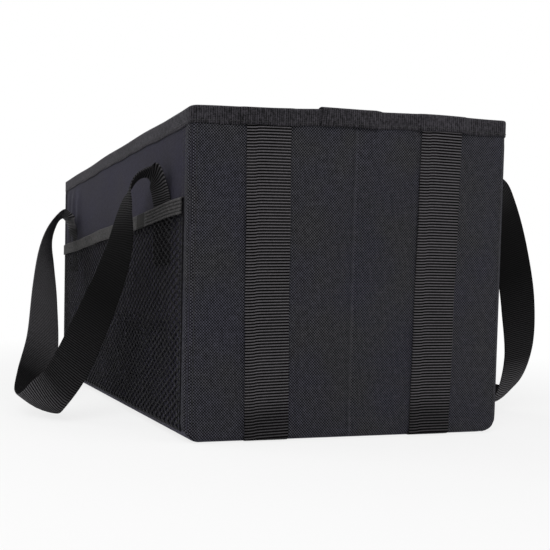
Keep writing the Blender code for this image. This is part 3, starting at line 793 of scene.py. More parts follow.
print("one rib takes", RIB_ROWS, "rows of points")

# %% [markdown]
# ## The belt straps
#
# Two straps run down the front and turn in under the bottom edge, where they are caught in the
# seam. The seat belt passes behind them. They start under the rim tape, lean a little towards
# each other on their way down, and are darker near the foot.

# %% Belt straps
STRAP_FOOT = 0.028
# The strap is darker over its last stretch, at the foot and round the turn.
BELT_DARKER_FOOT = ((0.0, 0.86, 0.92, 1.0), (1.0, 1.0, 0.55, 0.55), (1.0, 1.0, 0.55, 0.55))
STRAP_BEND = 0.0024


def belt_strap(name, x, replaced):
    """Straight down in front of the panel, then a quarter turn in to the bottom seam."""
    middle = FRONT - CLEARANCE - STRAP_THICKNESS / 2
    turn, lowest = STRAP_BEND, CLEARANCE + STRAP_THICKNESS / 2
    heights = np.linspace(WALL_TOP - CLEARANCE, lowest + turn, 60)
    share = heights / HEIGHT
    bulge = 0.0009 * np.sin(math.pi * share) ** 2 * np.sin(7.0 * share + x * 40) ** 2
    angle = np.linspace(0.0, math.pi / 2, 9)[1:]
    bend = middle + turn - turn * np.cos(angle)
    y = np.concatenate([middle - bulge, bend, [middle + turn + 0.0022]])
    z = np.concatenate([heights, lowest + turn - turn * np.sin(angle), [lowest + 0.0002]])
    lean = 0.0007 * np.sin(3.1 * z / HEIGHT + x * 30)
    lean = lean - np.sign(x) * STRAP_LEAN * (1.0 - z / HEIGHT)
    points = joined(x + lean, y, z)
    across = repeated((1.0, 0.0, 0.0), len(points))
    webbing(name, points, across, STRAP_WIDTH, STRAP_THICKNESS, (RIB_PITCH, RIB_DEPTH),
            belt_webbing, STRAP_FOOT, BELT_DARKER_FOOT, replaced)


belt_strap("strap_left", -STRAP_CENTRE, ["belt_strap_left"])
belt_strap("strap_right", STRAP_CENTRE, ["belt_strap_right"])
print("belt straps made")

# %% [markdown]
# ## The side pockets
#
# A pocket is a rectangle of net. It lies close to the wall at its foot, is caught in the front,
# back and bottom seams, and stands off the wall at the top, where the sewn ends of the handle
# lie behind it. Its top edge drops a little towards the back.

# %% Where a pocket lies
POCKET_TOP_FRONT, POCKET_TOP_BACK = 0.192, 0.175
POCKET_MESH, POCKET_TAPE, POCKET_TAPE_HEIGHT = 0.0008, 0.0006, 0.0130
POCKET_RAMP, POCKET_WRAP, POCKET_SLACK = 0.0400, math.radians(20.0), 0.0003
POCKET_FRONT, POCKET_BACK = FRONT + TURN_END + CLEARANCE, BACK - TURN_END - CLEARANCE
HANDLE_WIDTH, HANDLE_THICKNESS, HANDLE_INSET, HANDLE_SEWN_END = 0.0380, 0.0015, 0.0550, 0.140


def pocket_top(y):
    """Height of the pocket's top edge: a straight line from front to back."""
    return POCKET_TOP_FRONT + (POCKET_TOP_BACK - POCKET_TOP_FRONT) * (y - FRONT) / DEPTH


def pocket_offset(y, height, tape=0.0):
    """Distance of the net from the wall: close in the seams, clear of the handle's ends above."""
    low = CLEARANCE + POCKET_MESH / 2 + POCKET_SLACK + tape
    high = 3 * CLEARANCE + HANDLE_THICKNESS + POCKET_TAPE + POCKET_MESH / 2
    ramp_end = HANDLE_SEWN_END - POCKET_RAMP / 2
    above = soft_step((height - ramp_end + POCKET_RAMP) / POCKET_RAMP)
    return low + (high - low) * above * soft_step((BACK - np.abs(y) - 0.004) / 0.026)


def on_wall(side, y, height, out):
    """A point at a distance out from a side wall, following the roundings at foot and corners."""
    angle = np.clip((EDGE_RADIUS - height) / EDGE_RADIUS, 0.0, None)
    turned = round_in(np.minimum(y - FRONT, BACK - y))
    reach = EDGE_RADIUS + out - turned
    x = WIDTH / 2 - EDGE_RADIUS + reach * np.cos(angle)
    z = np.where(height >= EDGE_RADIUS, height, EDGE_RADIUS - reach * np.sin(angle))
    return joined(side * x, y, z)


print("pocket top, front and back, mm:", 1000 * POCKET_TOP_FRONT, 1000 * POCKET_TOP_BACK)

# %% [markdown]
# ## The net
#
# The net could be a picture of holes on a plain sheet, but its strands have thickness and throw
# shadows on the wall behind, so every hole is cut. The holes stand in a centred lattice: each
# one sits in a rhombus, and the rhombi fill the sheet. All points get whole-number addresses in
# quarter cells, so that neighbours share them, and an eight-sided hole is drawn in each rhombus.

# %% Net
NET_COLUMNS, NET_ROWS = 43, 29
STRAND_TOP, STRAND_EDGE = 0.00018, -0.00012
RHOMBUS = ((2, 0), (1, 1), (0, 2), (-1, 1), (-2, 0), (-1, -1), (0, -2), (1, -1))
HOLE = ((0.315, 0.0), (0.205, 0.205), (0.0, 0.33), (-0.205, 0.205), (-0.315, 0.0),
        (-0.205, -0.205), (0.0, -0.33), (0.205, -0.205))


def net_cells(columns, rows):
    """Addresses of the hole centres, in quarter cells: middles of the cells, and corners."""
    middles = joined(*np.meshgrid(np.arange(columns) * 4 + 2, np.arange(rows) * 4 + 2))
    corners = joined(*np.meshgrid(np.arange(1, columns) * 4, np.arange(1, rows) * 4))
    return np.concatenate([middles.reshape(-1, 2), corners.reshape(-1, 2)])


def half_cells(columns, rows):
    """The filled triangles along the border and the four corners, as lists of addresses."""
    wide, tall = 4 * columns, 4 * rows
    found = []
    for c in range(4, wide, 4):
        found.append([(c - 2, 0), (c + 2, 0), (c + 1, 1), (c, 2), (c - 1, 1)])
        found.append([(c + 2, tall), (c - 2, tall), (c - 1, tall - 1), (c, tall - 2),
                      (c + 1, tall - 1)])
    for r in range(4, tall, 4):
        found.append([(0, r + 2), (0, r - 2), (1, r - 1), (2, r), (1, r + 1)])
        found.append([(wide, r - 2), (wide, r + 2), (wide - 1, r + 1), (wide - 2, r),
                      (wide - 1, r - 1)])
    found.append([(0, 0), (2, 0), (1, 1), (0, 2)])
    found.append([(wide - 2, 0), (wide, 0), (wide, 2), (wide - 1, 1)])
    found.append([(wide, tall - 2), (wide, tall), (wide - 2, tall), (wide - 1, tall - 1)])
    found.append([(2, tall), (0, tall), (0, tall - 2), (1, tall - 1)])
    return found


def net(name, side, replaced):
    """Strand tops lie on the rhombus borders; each hole's rim lies a little deeper."""
    centres = net_cells(NET_COLUMNS, NET_ROWS)
    borders = centres[:, None, :] + np.array(RHOMBUS)[None, :, :]
    halves = half_cells(NET_COLUMNS, NET_ROWS)
    key = lambda c, r: c * 1000 + r
    known, number = np.unique(key(borders[..., 0], borders[..., 1]), return_inverse=True)
    number = number.reshape(borders.shape[:2])
    place = {int(address): index for index, address in enumerate(known)}
    for corners in halves:
        for c, r in corners:
            place.setdefault(key(c, r), len(place))
    every = np.array(list(place.keys()))
    outer = joined(every // 1000, every % 1000) / 4.0
    jitter = np.random.default_rng(17).normal(0.0, 0.035, (len(centres), 2))
    inner = centres[:, None, :] / 4.0 + jitter[:, None, :] + np.array(HOLE)[None, :, :]
    inner = inner.reshape(-1, 2)
    address = np.concatenate([outer, inner])
    y = POCKET_FRONT + (POCKET_BACK - POCKET_FRONT) * address[:, 0] / NET_COLUMNS
    foot = EDGE_RADIUS * (1.0 - POCKET_WRAP)
    top = pocket_top(y) - POCKET_TAPE - CLEARANCE
    height = foot + (top - foot) * address[:, 1] / NET_ROWS
    crown = np.concatenate([np.full(len(outer), STRAND_TOP), np.full(len(inner), STRAND_EDGE)])
    slack = 0.0013 * wave(y, height, 31, 0.09) * soft_step((BACK - np.abs(y)) / 0.04)
    slack = slack * soft_step((height - foot) / 0.03) * soft_step((top - height) / 0.03)
    points = on_wall(side, y, height, pocket_offset(y, height) + crown + slack)
    holes = (len(outer) + np.arange(len(inner))).reshape(-1, 8)
    rings = joined(number, np.roll(number, -1, 1), np.roll(holes, -1, 1), holes)
    faces = rings.reshape(-1, 4).tolist()
    faces += [[place[key(c, r)] for c, r in corners] for corners in halves]
    if side < 0:
        faces = [corners[::-1] for corners in faces]
    return new_piece(name, points, faces, net_yarn, joined(y + DEPTH, height), None,
                     POCKET_MESH * 0.75, replaced)


net("net_left", -1.0, ["pocket_mesh_left"])
net("net_right", 1.0, ["pocket_mesh_right"])
print("holes in each net:", len(net_cells(NET_COLUMNS, NET_ROWS)))

# %% [markdown]
# ## The pocket tapes
#
# A tape is folded over the top of each net. It runs from corner to corner, and at its front end
# it is sewn through the webbing of the handle with several rows, which press furrows into it.
# Behind the last row it is tucked in for a short way, and is painted dark there as painted shadow.
# Over the sewn end the furrows are painted dark as shade and the ridges between them lighter as
# highlight. The section is two straight flaps and a half round crown.

# %% Pocket tapes
SEWN_END, TUCK_END, SEWN_PITCH, SEWN_DEPTH = -0.118, -0.098, 0.0027, 0.0006
FLAP_ROWS = 30


def tape_section(half_gap, drop):
    """(Distance out, height below the crown), from the outer foot over to the inner foot."""
    angle = np.linspace(0.0, math.pi, 9)
    flap = half_gap + (drop - half_gap) * np.linspace(1.0, 0.0, FLAP_ROWS + 1)[:-1]
    straight = np.full(FLAP_ROWS, half_gap)
    out = np.concatenate([straight, half_gap * np.cos(angle), -straight])
    return out, np.concatenate([flap, half_gap - half_gap * np.sin(angle), flap[::-1]])


def over_handle(y):
    """How far the tape stands out over the handle's two ends."""
    return 0.0004 * (soft_step((SEWN_END - y) / 0.004) + soft_step((y - 0.125) / 0.004))


def tape_ripple(y, side):
    """The tape swings in and out a little between the box's corners."""
    return 0.0005 * np.sin(95.0 * y + side) * soft_step((0.20 - np.abs(y)) / 0.03)


def tape_waver(y):
    """The tape's edge is not sewn on quite straight."""
    return 0.0006 * np.sin(31.0 * y + 1.0)


def pocket_binding(name, side, replaced):
    """The tape's section carried along the pocket's top edge."""
    y = np.linspace(POCKET_FRONT, POCKET_BACK, 132)
    top = pocket_top(y)
    sewn = soft_step((SEWN_END - y) / 0.003)[:, None]
    tuck = (soft_step((y - SEWN_END) / 0.002) * soft_step((TUCK_END - y) / 0.002))[:, None]
    gap = POCKET_MESH / 2 + CLEARANCE + POCKET_TAPE / 2
    out, down = tape_section(gap, POCKET_TAPE_HEIGHT)
    middle = pocket_offset(y, top, POCKET_TAPE) + tape_ripple(y, side)
    height = top[:, None] - POCKET_TAPE / 2 - down[None, :] + tape_waver(y)[:, None]
    outside = (out > gap * 0.99) * 1.0
    furrows = (0.5 + 0.5 * np.cos(2.0 * math.pi * down / SEWN_PITCH)) * outside
    reach = middle[:, None] + out[None, :] + (out[None, :] > 0) * over_handle(y)[:, None]
    reach = reach + SEWN_DEPTH * sewn * (outside - furrows)[None, :]
    reach = reach - 0.0002 * tuck * outside[None, :]
    yy = over_columns(y, len(out))
    points = on_wall(side, yy, height, reach)
    uv = joined(yy + DEPTH, over_rows(along_line(joined(out, down)), len(y)))
    rubbed_and_shaded = np.exp(-((down / 0.0012) ** 2))[None, :] * (0.7 - 0.7 * tuck)
    # Painted shade in the sewn furrows and painted highlight on the ridges; the tucked part is
    # painted dark as shadow.
    rubbed_and_shaded = rubbed_and_shaded + sewn * (0.9 - 2.9 * furrows[None, :]) - 6.0 * tuck
    return new_piece(name, points, grid_faces(*yy.shape), pocket_tape, uv, rubbed_and_shaded,
                     POCKET_TAPE, replaced)


pocket_binding("pocket_tape_left", -1.0, ["pocket_binding_left"])
pocket_binding("pocket_tape_right", 1.0, ["pocket_binding_right"])
print("pocket tapes made")

# %% [markdown]
# ## The handles
#
# Each handle is one length of webbing, sewn to the wall at both ends behind the pocket tape. It
# comes up out of the pocket, folds over and hangs down outside in a long twisted loop. Its line
# is the one that the solid has: a smooth curve through some twenty places, each with the way
# that the webbing's width faces there.

# %% Handles
# Distance out from the wall as a share of the reach, share of the way between the ends, share of
# the pocket's height, and the turn and lift of the width in degrees.
HANDLE_REACH = 0.0978
LEFT_HANG = np.array([
    [0.057, 0.000, 1.098, -1.1, -1.2],
    [0.100, 0.011, 1.149, -3.1, -4.3],
    [0.193, 0.018, 1.138, -9.0, -7.2],
    [0.283, 0.021, 1.078, -11.7, -12.9],
    [0.319, 0.028, 0.974, 2.6, -14.8],
    [0.394, 0.046, 0.729, 25.8, -12.5],
    [0.681, 0.133, 0.293, 47.7, -4.3],
    [0.909, 0.176, 0.109, 56.0, 8.7],
    [0.961, 0.273, 0.085, 63.4, 23.8],
    [0.881, 0.383, 0.166, 74.3, 30.1],
    [0.721, 0.515, 0.345, 91.6, 29.5],
    [0.602, 0.670, 0.613, 114.8, 25.5],
    [0.487, 0.816, 0.859, 140.0, 21.0],
    [0.365, 0.920, 1.038, 161.6, 17.5],
    [0.226, 0.979, 1.153, 171.5, 13.4],
    [0.117, 0.993, 1.170, 176.3, 6.8],
    [0.041, 1.000, 1.104, 179.9, -1.2],
])
RIGHT_HANG = np.array([
    [0.044, 0.000, 1.043, -0.1, -2.1],
    [0.158, -0.002, 1.118, 16.0, -1.2],
    [0.296, -0.005, 1.170, 35.2, 1.5],
    [0.441, -0.009, 1.150, 56.6, 5.5],
    [0.585, 0.009, 1.050, 75.0, 9.7],
    [0.744, 0.025, 0.837, 87.4, 12.9],
    [0.890, 0.040, 0.576, 91.4, 15.2],
    [0.985, 0.062, 0.314, 83.4, 17.8],
    [0.982, 0.107, 0.115, 77.0, 20.7],
    [0.937, 0.177, 0.088, 76.5, 22.6],
    [0.858, 0.278, 0.160, 81.6, 23.0],
    [0.752, 0.415, 0.307, 91.4, 21.7],
    [0.629, 0.579, 0.503, 105.9, 18.4],
    [0.502, 0.743, 0.704, 123.9, 13.5],
    [0.381, 0.871, 0.864, 142.4, 7.7],
    [0.275, 0.949, 0.961, 158.0, 2.5],
    [0.192, 0.983, 1.010, 169.0, -0.8],
    [0.119, 0.996, 1.032, 175.8, -1.4],
    [0.047, 1.000, 1.035, 180.1, 0.0],
])


# How far the lowest turn hangs hollow, and how light the webbing is painted, as painted light and
# shade along the loop and behind the pocket: places along it as shares of its length, then one
# face and the other.
HANDLE_CUP = 0.0052
HANDLE_PAINTED_LIGHT = (
    (0.0, 0.072, 0.082, 0.14, 0.20, 0.28, 0.40, 0.47, 0.53, 0.60, 0.75, 0.918, 0.928, 1.0),
    (0.25, 0.25, 0.55, 0.50, 0.28, 0.34, 0.50, 0.25, 0.16, 0.9, 1.6, 1.4, 0.25, 0.25),
    (0.25, 0.25, 0.3, 0.2, 0.030, 0.035, 0.18, 1.35, 1.5, 1.0, 0.7, 0.7, 0.25, 0.25))
LINE_STEPS = 24


def smooth_line(points, steps):
    """Catmull-Rom: between two points, a cubic whose slopes come from their neighbours."""
    padded = np.concatenate([points[:1], points, points[-1:]])[:, None, :]
    before, start, end, after = padded[:-3], padded[1:-2], padded[2:-1], padded[3:]
    t = (np.arange(steps) / steps)[None, :, None]
    square, cube = 2 * before - 5 * start + 4 * end - after, 3 * start - before - 3 * end + after
    line = 0.5 * (2 * start + (end - before) * t + square * t ** 2 + cube * t ** 3)
    return np.concatenate([line.reshape(-1, points.shape[1]), points[-1:]])


def handle(name, hang, side, replaced):
    """The hanging line between its two sewn ends, with the webbing carried along it."""
    first, last = FRONT + HANDLE_INSET, BACK - HANDLE_INSET
    flat = CLEARANCE + HANDLE_THICKNESS / 2
    out, share, lifted, turn, lift = hang.T
    y = first + (last - first) * share
    hanging = joined(out * HANDLE_REACH, y, pocket_top(y) * lifted, turn, lift)
    ends = []
    for place, angle in ((first, 0.0), (last, 180.0)):
        top = pocket_top(place)
        heights = [HANDLE_SEWN_END, (HANDLE_SEWN_END + top) / 2, top]
        ends.append(np.array([(flat, place, height, angle, 0.0) for height in heights]))
    stations = np.concatenate([ends[0], hanging, ends[1][::-1]])
    out, y, z, turn, lift = stations.T
    swing, rise = np.radians(turn), np.radians(lift)
    level = np.cos(rise)
    wide = joined(side * np.sin(swing) * level, np.cos(swing) * level, np.sin(rise))
    line = smooth_line(joined(side * (WIDTH / 2 + out), y, z), LINE_STEPS)
    line[:, 0] = side * np.maximum(side * line[:, 0], WIDTH / 2 + flat)
    run = along_line(line)
    lowest = np.exp(-((line[:, 2] - line[:, 2].min()) / 0.030) ** 2)
    faces = HANDLE_PAINTED_LIGHT[1:][::int(-side)]
    webbing(name, line, smooth_line(wide, LINE_STEPS), HANDLE_WIDTH, HANDLE_THICKNESS,
            (HANDLE_RIB_PITCH, HANDLE_RIB_DEPTH), handle_webbing, 0.0,
            (HANDLE_PAINTED_LIGHT[0], *faces), replaced, (run, HANDLE_CUP * lowest))
    return run[-1]


left_length = handle("webbing_handle_left", LEFT_HANG, -1.0, ["handle_left"])
right_length = handle("webbing_handle_right", RIGHT_HANG, 1.0, ["handle_right"])
print("handle lengths, mm:", round(1000 * left_length), round(1000 * right_length))

# %% [markdown]
# ## The rim tape
#
# One tape is folded over the top of the walls and runs all the way round. It starts on the front
# face, and its end laps over its start, with the lower corner of the end cut on the slant. It
# rises over the two belt straps, and the whole tape climbs a few millimetres towards the right
# front corner. The path is a rectangle with rounded corners; at each station the tape's section
# is set across it: two flaps and a crown that is a little squarer than a half circle.

# %% Rim tape
LAP_END, LAP_LENGTH, LAP_RAMP, LAP_SLANT = -0.0325, 0.0510, 0.0030, -0.0020
RIM_CORNER = CORNER_ROUND + CLEARANCE + RIM_TAPE / 2
RIM_STEP, RIM_LIFT, RIM_CROWN, RIM_ROWS, TURN_STEPS = 0.0035, 0.0052, 0.0022, 7, 9


def rim_path():
    """Points (x, y) and outward directions round the rim, from the lap to the lap, clockwise."""
    half_x = WIDTH / 2 + CLEARANCE + RIM_TAPE / 2 - RIM_CORNER
    half_y = DEPTH / 2 + CLEARANCE + RIM_TAPE / 2 - RIM_CORNER
    start = LAP_END + LAP_LENGTH
    legs = [((start, -half_y), (-half_x, -half_y), (0.0, -1.0)),
            ((-half_x, -half_y), (-half_x, half_y), (-1.0, 0.0)),
            ((-half_x, half_y), (half_x, half_y), (0.0, 1.0)),
            ((half_x, half_y), (half_x, -half_y), (1.0, 0.0)),
            ((half_x, -half_y), (LAP_END, -half_y), (0.0, -1.0))]
    centres, outs = [], []
    for index, (begin, end, out) in enumerate(legs):
        count = int(math.dist(begin, end) / RIM_STEP) + 2
        share = np.linspace(0.0, 1.0, count)[:, None]
        centres.append(np.array(begin) * (1 - share) + np.array(end) * share)
        outs.append(repeated(out, count))
        if index < 4:
            turn = math.radians(90.0) * np.linspace(0.0, 1.0, TURN_STEPS)[1:-1, None]
            outs.append(np.cos(turn) * np.array(out) + np.sin(turn) * np.array(legs[index + 1][2]))
            centres.append(repeated(end, TURN_STEPS - 2))
    centre, out = np.concatenate(centres), np.concatenate(outs)
    return centre + out * RIM_CORNER, out


def rim_sag(run, x, y):
    """The tape is not sewn on quite level: small waves, and a rise to one front corner."""
    across = np.clip((x + WIDTH / 2) / WIDTH, 0.0, 1.0)
    rise = RIM_LIFT * np.sin(across * math.pi / 2) * soft_step((0.10 - y) / 0.25)
    return 0.0006 * np.sin(17.0 * run + 2.0) - 0.0006 + 0.0004 * np.sin(53.0 * run) + rise


def rim_stations():
    """All that is known at each place of the tape.

    It gives the place, the outward direction, the distance along, how far the tape stands out
    (over the straps and over its own start), how much of that is the lap, whether the place is
    near the tape's end, and how far it lies above its even height.
    """
    place, out = rim_path()
    run = along_line(place)
    x, y = place.T
    on_front = (y < FRONT + 0.001) * 1.0
    late = on_front * (run > run[-1] / 2)
    beside = np.abs(np.abs(x) - STRAP_CENTRE) - STRAP_WIDTH / 2
    bump = STRAP_THICKNESS + CLEARANCE
    bump = bump * (1.0 - soft_step((beside - 0.0005) / 0.0055)) * on_front
    lap = (RIM_TAPE + CLEARANCE) * late
    lap = lap * soft_step((LAP_END + LAP_LENGTH + LAP_RAMP - x) / LAP_RAMP)
    return place, out, run, bump + lap, lap, late, rim_sag(run, x, y)


def rim_tape_piece():
    """Section (out, height) at each station; the last stations are sheared to slant the end."""
    place, out, run, bump, lap, late, sag = rim_stations()
    width = WALL + 2 * (CLEARANCE + RIM_TAPE / 2)
    foot = RIM_FLAP - RIM_CROWN
    turn = np.linspace(0.0, math.pi, 11)
    flap = RIM_CROWN + foot * np.linspace(1.0, 0.0, RIM_ROWS + 1)[:-1]
    straight = np.ones(RIM_ROWS)
    arc_out = -width / 2 + width / 2 * np.sign(np.cos(turn)) * np.abs(np.cos(turn)) ** 0.75
    arc_down = RIM_CROWN * (1.0 - np.sin(turn) ** 0.75)
    across_out = np.concatenate([0 * straight, arc_out, -width * straight])
    across_down = np.concatenate([flap, arc_down, flap[::-1]])
    outside = np.concatenate([straight, 0.5 + 0.5 * np.cos(turn), 0 * straight])[None, :]
    low = np.clip((across_down - RIM_CROWN) / foot, 0.0, 1.0)[None, :]
    ripple = (0.0007 * np.sin(23.0 * run + 0.7) + 0.0005 * np.sin(61.0 * run)) * 0.21
    lip = 0.0004 * np.sin(130.0 * run) * soft_step(run / 0.02)
    away = bump[:, None] * outside + across_out[None, :] - lap[:, None] * (1.0 - outside)
    away = away + ripple[:, None] * outside * (1.0 - low)
    height = HEIGHT - RIM_TAPE / 2 - across_down[None, :] + lap[:, None] * (1.0 - low)
    height = height + sag[:, None] + lip[:, None] * low
    slant = LAP_SLANT * late * soft_step((LAP_END + 0.012 - place[:, 0]) / 0.012)
    x = place[:, :1] + out[:, :1] * away + slant[:, None] * low * (outside > 0.5)
    points = joined(x, place[:, 1:] + out[:, 1:] * away, np.minimum(height, HEIGHT + 0.006))
    across = along_line(joined(across_out, across_down))
    uv = joined(over_columns(run, len(across)), over_rows(across, len(run)))
    rubbed_and_shaded = over_rows(np.exp(-(across_down / 0.0012) ** 2), len(run))
    return new_piece("rim_tape_folded", points, grid_faces(*x.shape), rim_tape, uv,
                     rubbed_and_shaded, RIM_TAPE, ["rim_binding"])


rim_tape_piece()
print("rim tape goes round", round(2 * (WIDTH + DEPTH), 3), "m")

# %% [markdown]
# ## Stitches
#
# A row of machine stitches is the same short thread again and again. One thread is a bent
# capsule with a few dozen faces; a function sets a copy at every place of a line, turned to run
# along it, and all the copies of a seam make one mesh.

# %% Stitch maker
THREAD, STITCH, STITCH_GAP = 0.00022, 0.0026, 0.0007
RINGS, RING_POINTS = 6, 6
STITCH_FACES = (RINGS - 1) * RING_POINTS + 2


def stitch_row(line, normal):
    """Points and faces of a stitch at each step of a line; normal points away from the cloth."""
    run = along_line(line)
    starts = np.arange(STITCH / 2, run[-1] - STITCH / 2, STITCH + STITCH_GAP)
    at, up = read_off(starts, run, line), read_off(starts, run, normal)
    way = unit(read_off(starts + 0.0005, run, line) - at)
    up = unit(up - way * np.sum(up * way, axis=1)[:, None])
    side = np.cross(way, up)
    along = np.array([-1.0, -0.8, -0.3, 0.3, 0.8, 1.0]) * STITCH / 2
    arch = np.array([-0.0004, 0.0, 0.00014, 0.00014, 0.0, -0.0004])
    girth = np.array([0.5, 0.95, 1.0, 1.0, 0.95, 0.5]) * THREAD
    angle = np.linspace(0.0, 2.0 * math.pi, RING_POINTS + 1)[:-1]
    ring_side = girth[:, None] * np.cos(angle)[None, :]
    ring_up = arch[:, None] + girth[:, None] * np.sin(angle)[None, :]
    points = at[:, None, None, :] + way[:, None, None, :] * along[None, :, None, None]
    points = points + side[:, None, None, :] * ring_side[None, :, :, None]
    points = points + up[:, None, None, :] * ring_up[None, :, :, None]
    each = RINGS * RING_POINTS
    first = each * np.arange(len(starts))[:, None, None]
    faces = (np.array(grid_faces(RINGS, RING_POINTS, closed=True))[None] + first).reshape(-1, 4)
    caps = np.array([list(range(RING_POINTS))[::-1], list(range(each - RING_POINTS, each))])
    ends = (caps[None] + first).reshape(-1, RING_POINTS)
    return points.reshape(-1, 3), faces[:, ::-1].tolist() + ends[:, ::-1].tolist()


def sew(name, rows):
    """All the rows of one seam as one piece."""
    points, faces, count = [], [], 0
    for line, normal in rows:
        more, corners = stitch_row(line, normal)
        points.append(more)
        faces += [[number + count for number in corner] for corner in corners]
        count += len(more)
    points = np.concatenate(points)
    made = new_piece(name, points, faces, sewing_thread, points[:, :2])
    print(name, "has", len(faces) // STITCH_FACES, "stitches")
    return made


# %% [markdown]
# ## Where the seams are sewn
#
# The rim tape is sewn close above its lower edge, outside and inside. Each pocket tape has one
# long row, four short ones over the handle's front end and two over its back end. Where the
# panels' cloth lies round a corner it is sewn down with one row in front and two on the side.

# %% Sew the seams
def rim_rows():
    """One row outside and one inside, following the tape's rise over the straps."""
    place, out, _, bump, _, _, sag = rim_stations()
    height = HEIGHT - RIM_FLAP + 0.0021 + sag[:, None]
    inside = np.full(len(place), -WALL - 2 * CLEARANCE - RIM_TAPE * 1.5)
    rows = []
    for away, look in ((bump + RIM_TAPE / 2, 1.0), (inside, -1.0)):
        line = np.concatenate([place + out * away[:, None], height], axis=1)
        normal = np.concatenate([out * look, 0.0 * height], axis=1)
        rows.append((line[:-3], normal[:-3]))
    return rows


def pocket_rows(side):
    """One long row on the tape, and short rows over both ends of the handle."""
    gap = POCKET_MESH / 2 + CLEARANCE + POCKET_TAPE
    first, last = FRONT + 0.010, BACK - 0.010
    rows = []
    for down, begin, end in ((0.0115, first, last), (0.0020, first, FRONT + 0.086),
                             (0.0044, first, FRONT + 0.086), (0.0068, first, FRONT + 0.086),
                             (0.0092, first, FRONT + 0.086), (0.0028, BACK - 0.082, last),
                             (0.0062, BACK - 0.082, last)):
        y = np.linspace(begin, end, 60)
        out = pocket_offset(y, pocket_top(y), POCKET_TAPE) + gap + over_handle(y)
        line = on_wall(side, y, pocket_top(y) - down + tape_waver(y), out + tape_ripple(y, side))
        rows.append((line, repeated((side, 0.0, 0.0), len(y))))
    return rows


def corner_rows():
    """Upright rows beside the four corners: one on the panel, two on the side wall."""
    rows = []
    below_rim = HEIGHT - RIM_FLAP - 0.001
    for face, outward in ((FRONT, -1.0), (BACK, 1.0)):
        for side in (-1.0, 1.0):
            z = np.linspace(EDGE_RADIUS + 0.002, below_rim, 40)
            x = np.full(len(z), side * (WIDTH / 2 - CORNER_ROUND))
            y = np.full(len(z), face + outward * 0.00005)
            rows.append((joined(x, y, z), repeated((0.0, outward, 0.0), len(z))))
    for side in (-1.0, 1.0):
        for inward in (0.0100, 0.0140):
            for end in (FRONT + inward, BACK - inward):
                top = pocket_top(end)
                z = np.linspace(top + 0.002, below_rim, 20)
                line = on_wall(side, np.full(len(z), end), z, 0.00005)
                rows.append((line, repeated((side, 0.0, 0.0), len(z))))
                z = np.linspace(EDGE_RADIUS + 0.002, top - POCKET_TAPE_HEIGHT - 0.001, 60)
                end = np.full(len(z), end)
                line = on_wall(side, end, z, pocket_offset(end, z) + POCKET_MESH * 0.6)
                rows.append((line, repeated((side, 0.0, 0.0), len(z))))
    return rows


sew("rim_stitches", rim_rows())
sew("pocket_stitches_left", pocket_rows(-1.0))
sew("pocket_stitches_right", pocket_rows(1.0))
sew("corner_stitches", corner_rows())

# %% [markdown]
# ## Floor, backdrop and light
#
# The basket stands on a pale floor in front of white. The floor is white to the camera and fades
# into the backdrop with distance, but near the basket a share of its own shading shows, so it
# keeps a soft shadow. Three large lamps and the world light the cloth evenly, so that a colour
# renders about as it is written.

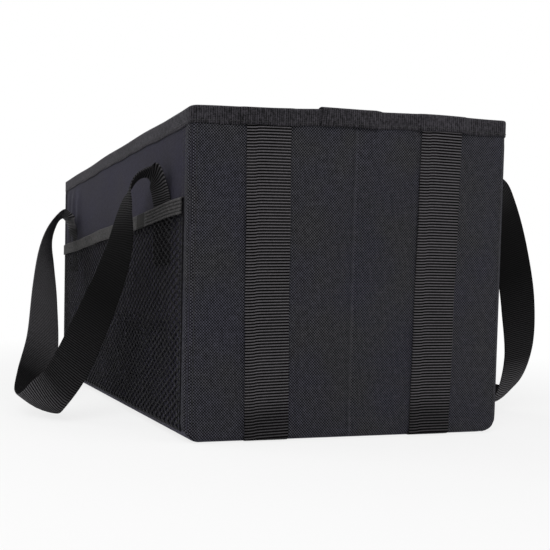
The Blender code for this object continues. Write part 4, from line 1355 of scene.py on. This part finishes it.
# %% Stage
def floor():
    """A wide plane whose material mixes white light for the camera with its own shading."""
    data = bpy.data.meshes.new("floor")
    size, low = 12.0, -0.0004
    corners = [(x * size, y * size, low) for x, y in ((-1, -1), (1, -1), (1, 1), (-1, 1))]
    data.from_pydata(corners, [], [(0, 1, 2, 3)])
    made = bpy.data.objects.new("floor", data)
    bpy.context.scene.collection.objects.link(made)
    paint = Finish("floor_paint", {"Base Color": (0.86, 0.86, 0.86, 1.0), "Roughness": 0.9})
    place = paint.node("ShaderNodeTexCoord", output="Object")
    far = paint.node("ShaderNodeVectorMath", {"operation": "LENGTH"}, {0: place}, "Value")
    camera_ray = paint.node("ShaderNodeLightPath", output="Is Camera Ray")
    share = (0.78 + ((far - 0.35) / 0.5).held() * 0.22).held() * camera_ray
    glow = paint.node("ShaderNodeEmission", None, {"Color": (1.0, 1.0, 1.0, 1.0), "Strength": 1.0})
    mixed = paint.node("ShaderNodeMixShader", None, {0: share, 2: glow})
    paint.tree.links.new(paint.shader.outputs[0], mixed.output.node.inputs[1])
    paint.tree.links.new(mixed.output, paint.tree.nodes["Material Output"].inputs["Surface"])
    data.materials.append(paint.material)
    return made


def white_world():
    """White to the camera, through glass and in reflections; a plain grey light otherwise."""
    world = bpy.data.worlds.new("studio")
    bpy.context.scene.world = world
    world.use_nodes = True
    nodes, links = world.node_tree.nodes, world.node_tree.links
    seen = nodes.new("ShaderNodeLightPath")
    white = seen.outputs["Is Camera Ray"]
    for ray in ("Is Transmission Ray", "Is Glossy Ray"):
        either = nodes.new("ShaderNodeMath")
        either.operation = "MAXIMUM"
        links.new(white, either.inputs[0])
        links.new(seen.outputs[ray], either.inputs[1])
        white = either.outputs[0]
    level = nodes.new("ShaderNodeMapRange")
    level.inputs["To Min"].default_value = 0.45
    level.inputs["To Max"].default_value = 1.0
    links.new(white, level.inputs["Value"])
    back = nodes["Background"]
    back.inputs["Color"].default_value = (1.0, 1.0, 1.0, 1.0)
    links.new(level.outputs["Result"], back.inputs["Strength"])


def lamp(name, place, aim, size, power):
    """A square area light that looks at a point."""
    light = bpy.data.lights.new(name, "AREA")
    light.size = size
    light.energy = power
    made = bpy.data.objects.new(name, light)
    made.location = place
    made.rotation_euler = (Vector(aim) - Vector(place)).to_track_quat("-Z", "Y").to_euler()
    bpy.context.scene.collection.objects.link(made)


floor()
white_world()
lamp("key", (-1.1, -1.5, 1.6), (0.0, 0.0, 0.15), 1.2, 22.0)
lamp("fill", (1.5, -1.2, 0.9), (0.0, 0.0, 0.12), 1.2, 8.0)
lamp("left", (-1.8, 0.5, 1.0), (0.0, 0.0, 0.15), 1.2, 12.0)
print("stage set")

# %% [markdown]
# ## The cloth pieces
#
# The panels, the strip and the linings are pulled over the boards. A net's area is what its strands
# cover, so it is less than the rectangle round it.

# %% Sheets
print("all pieces made")
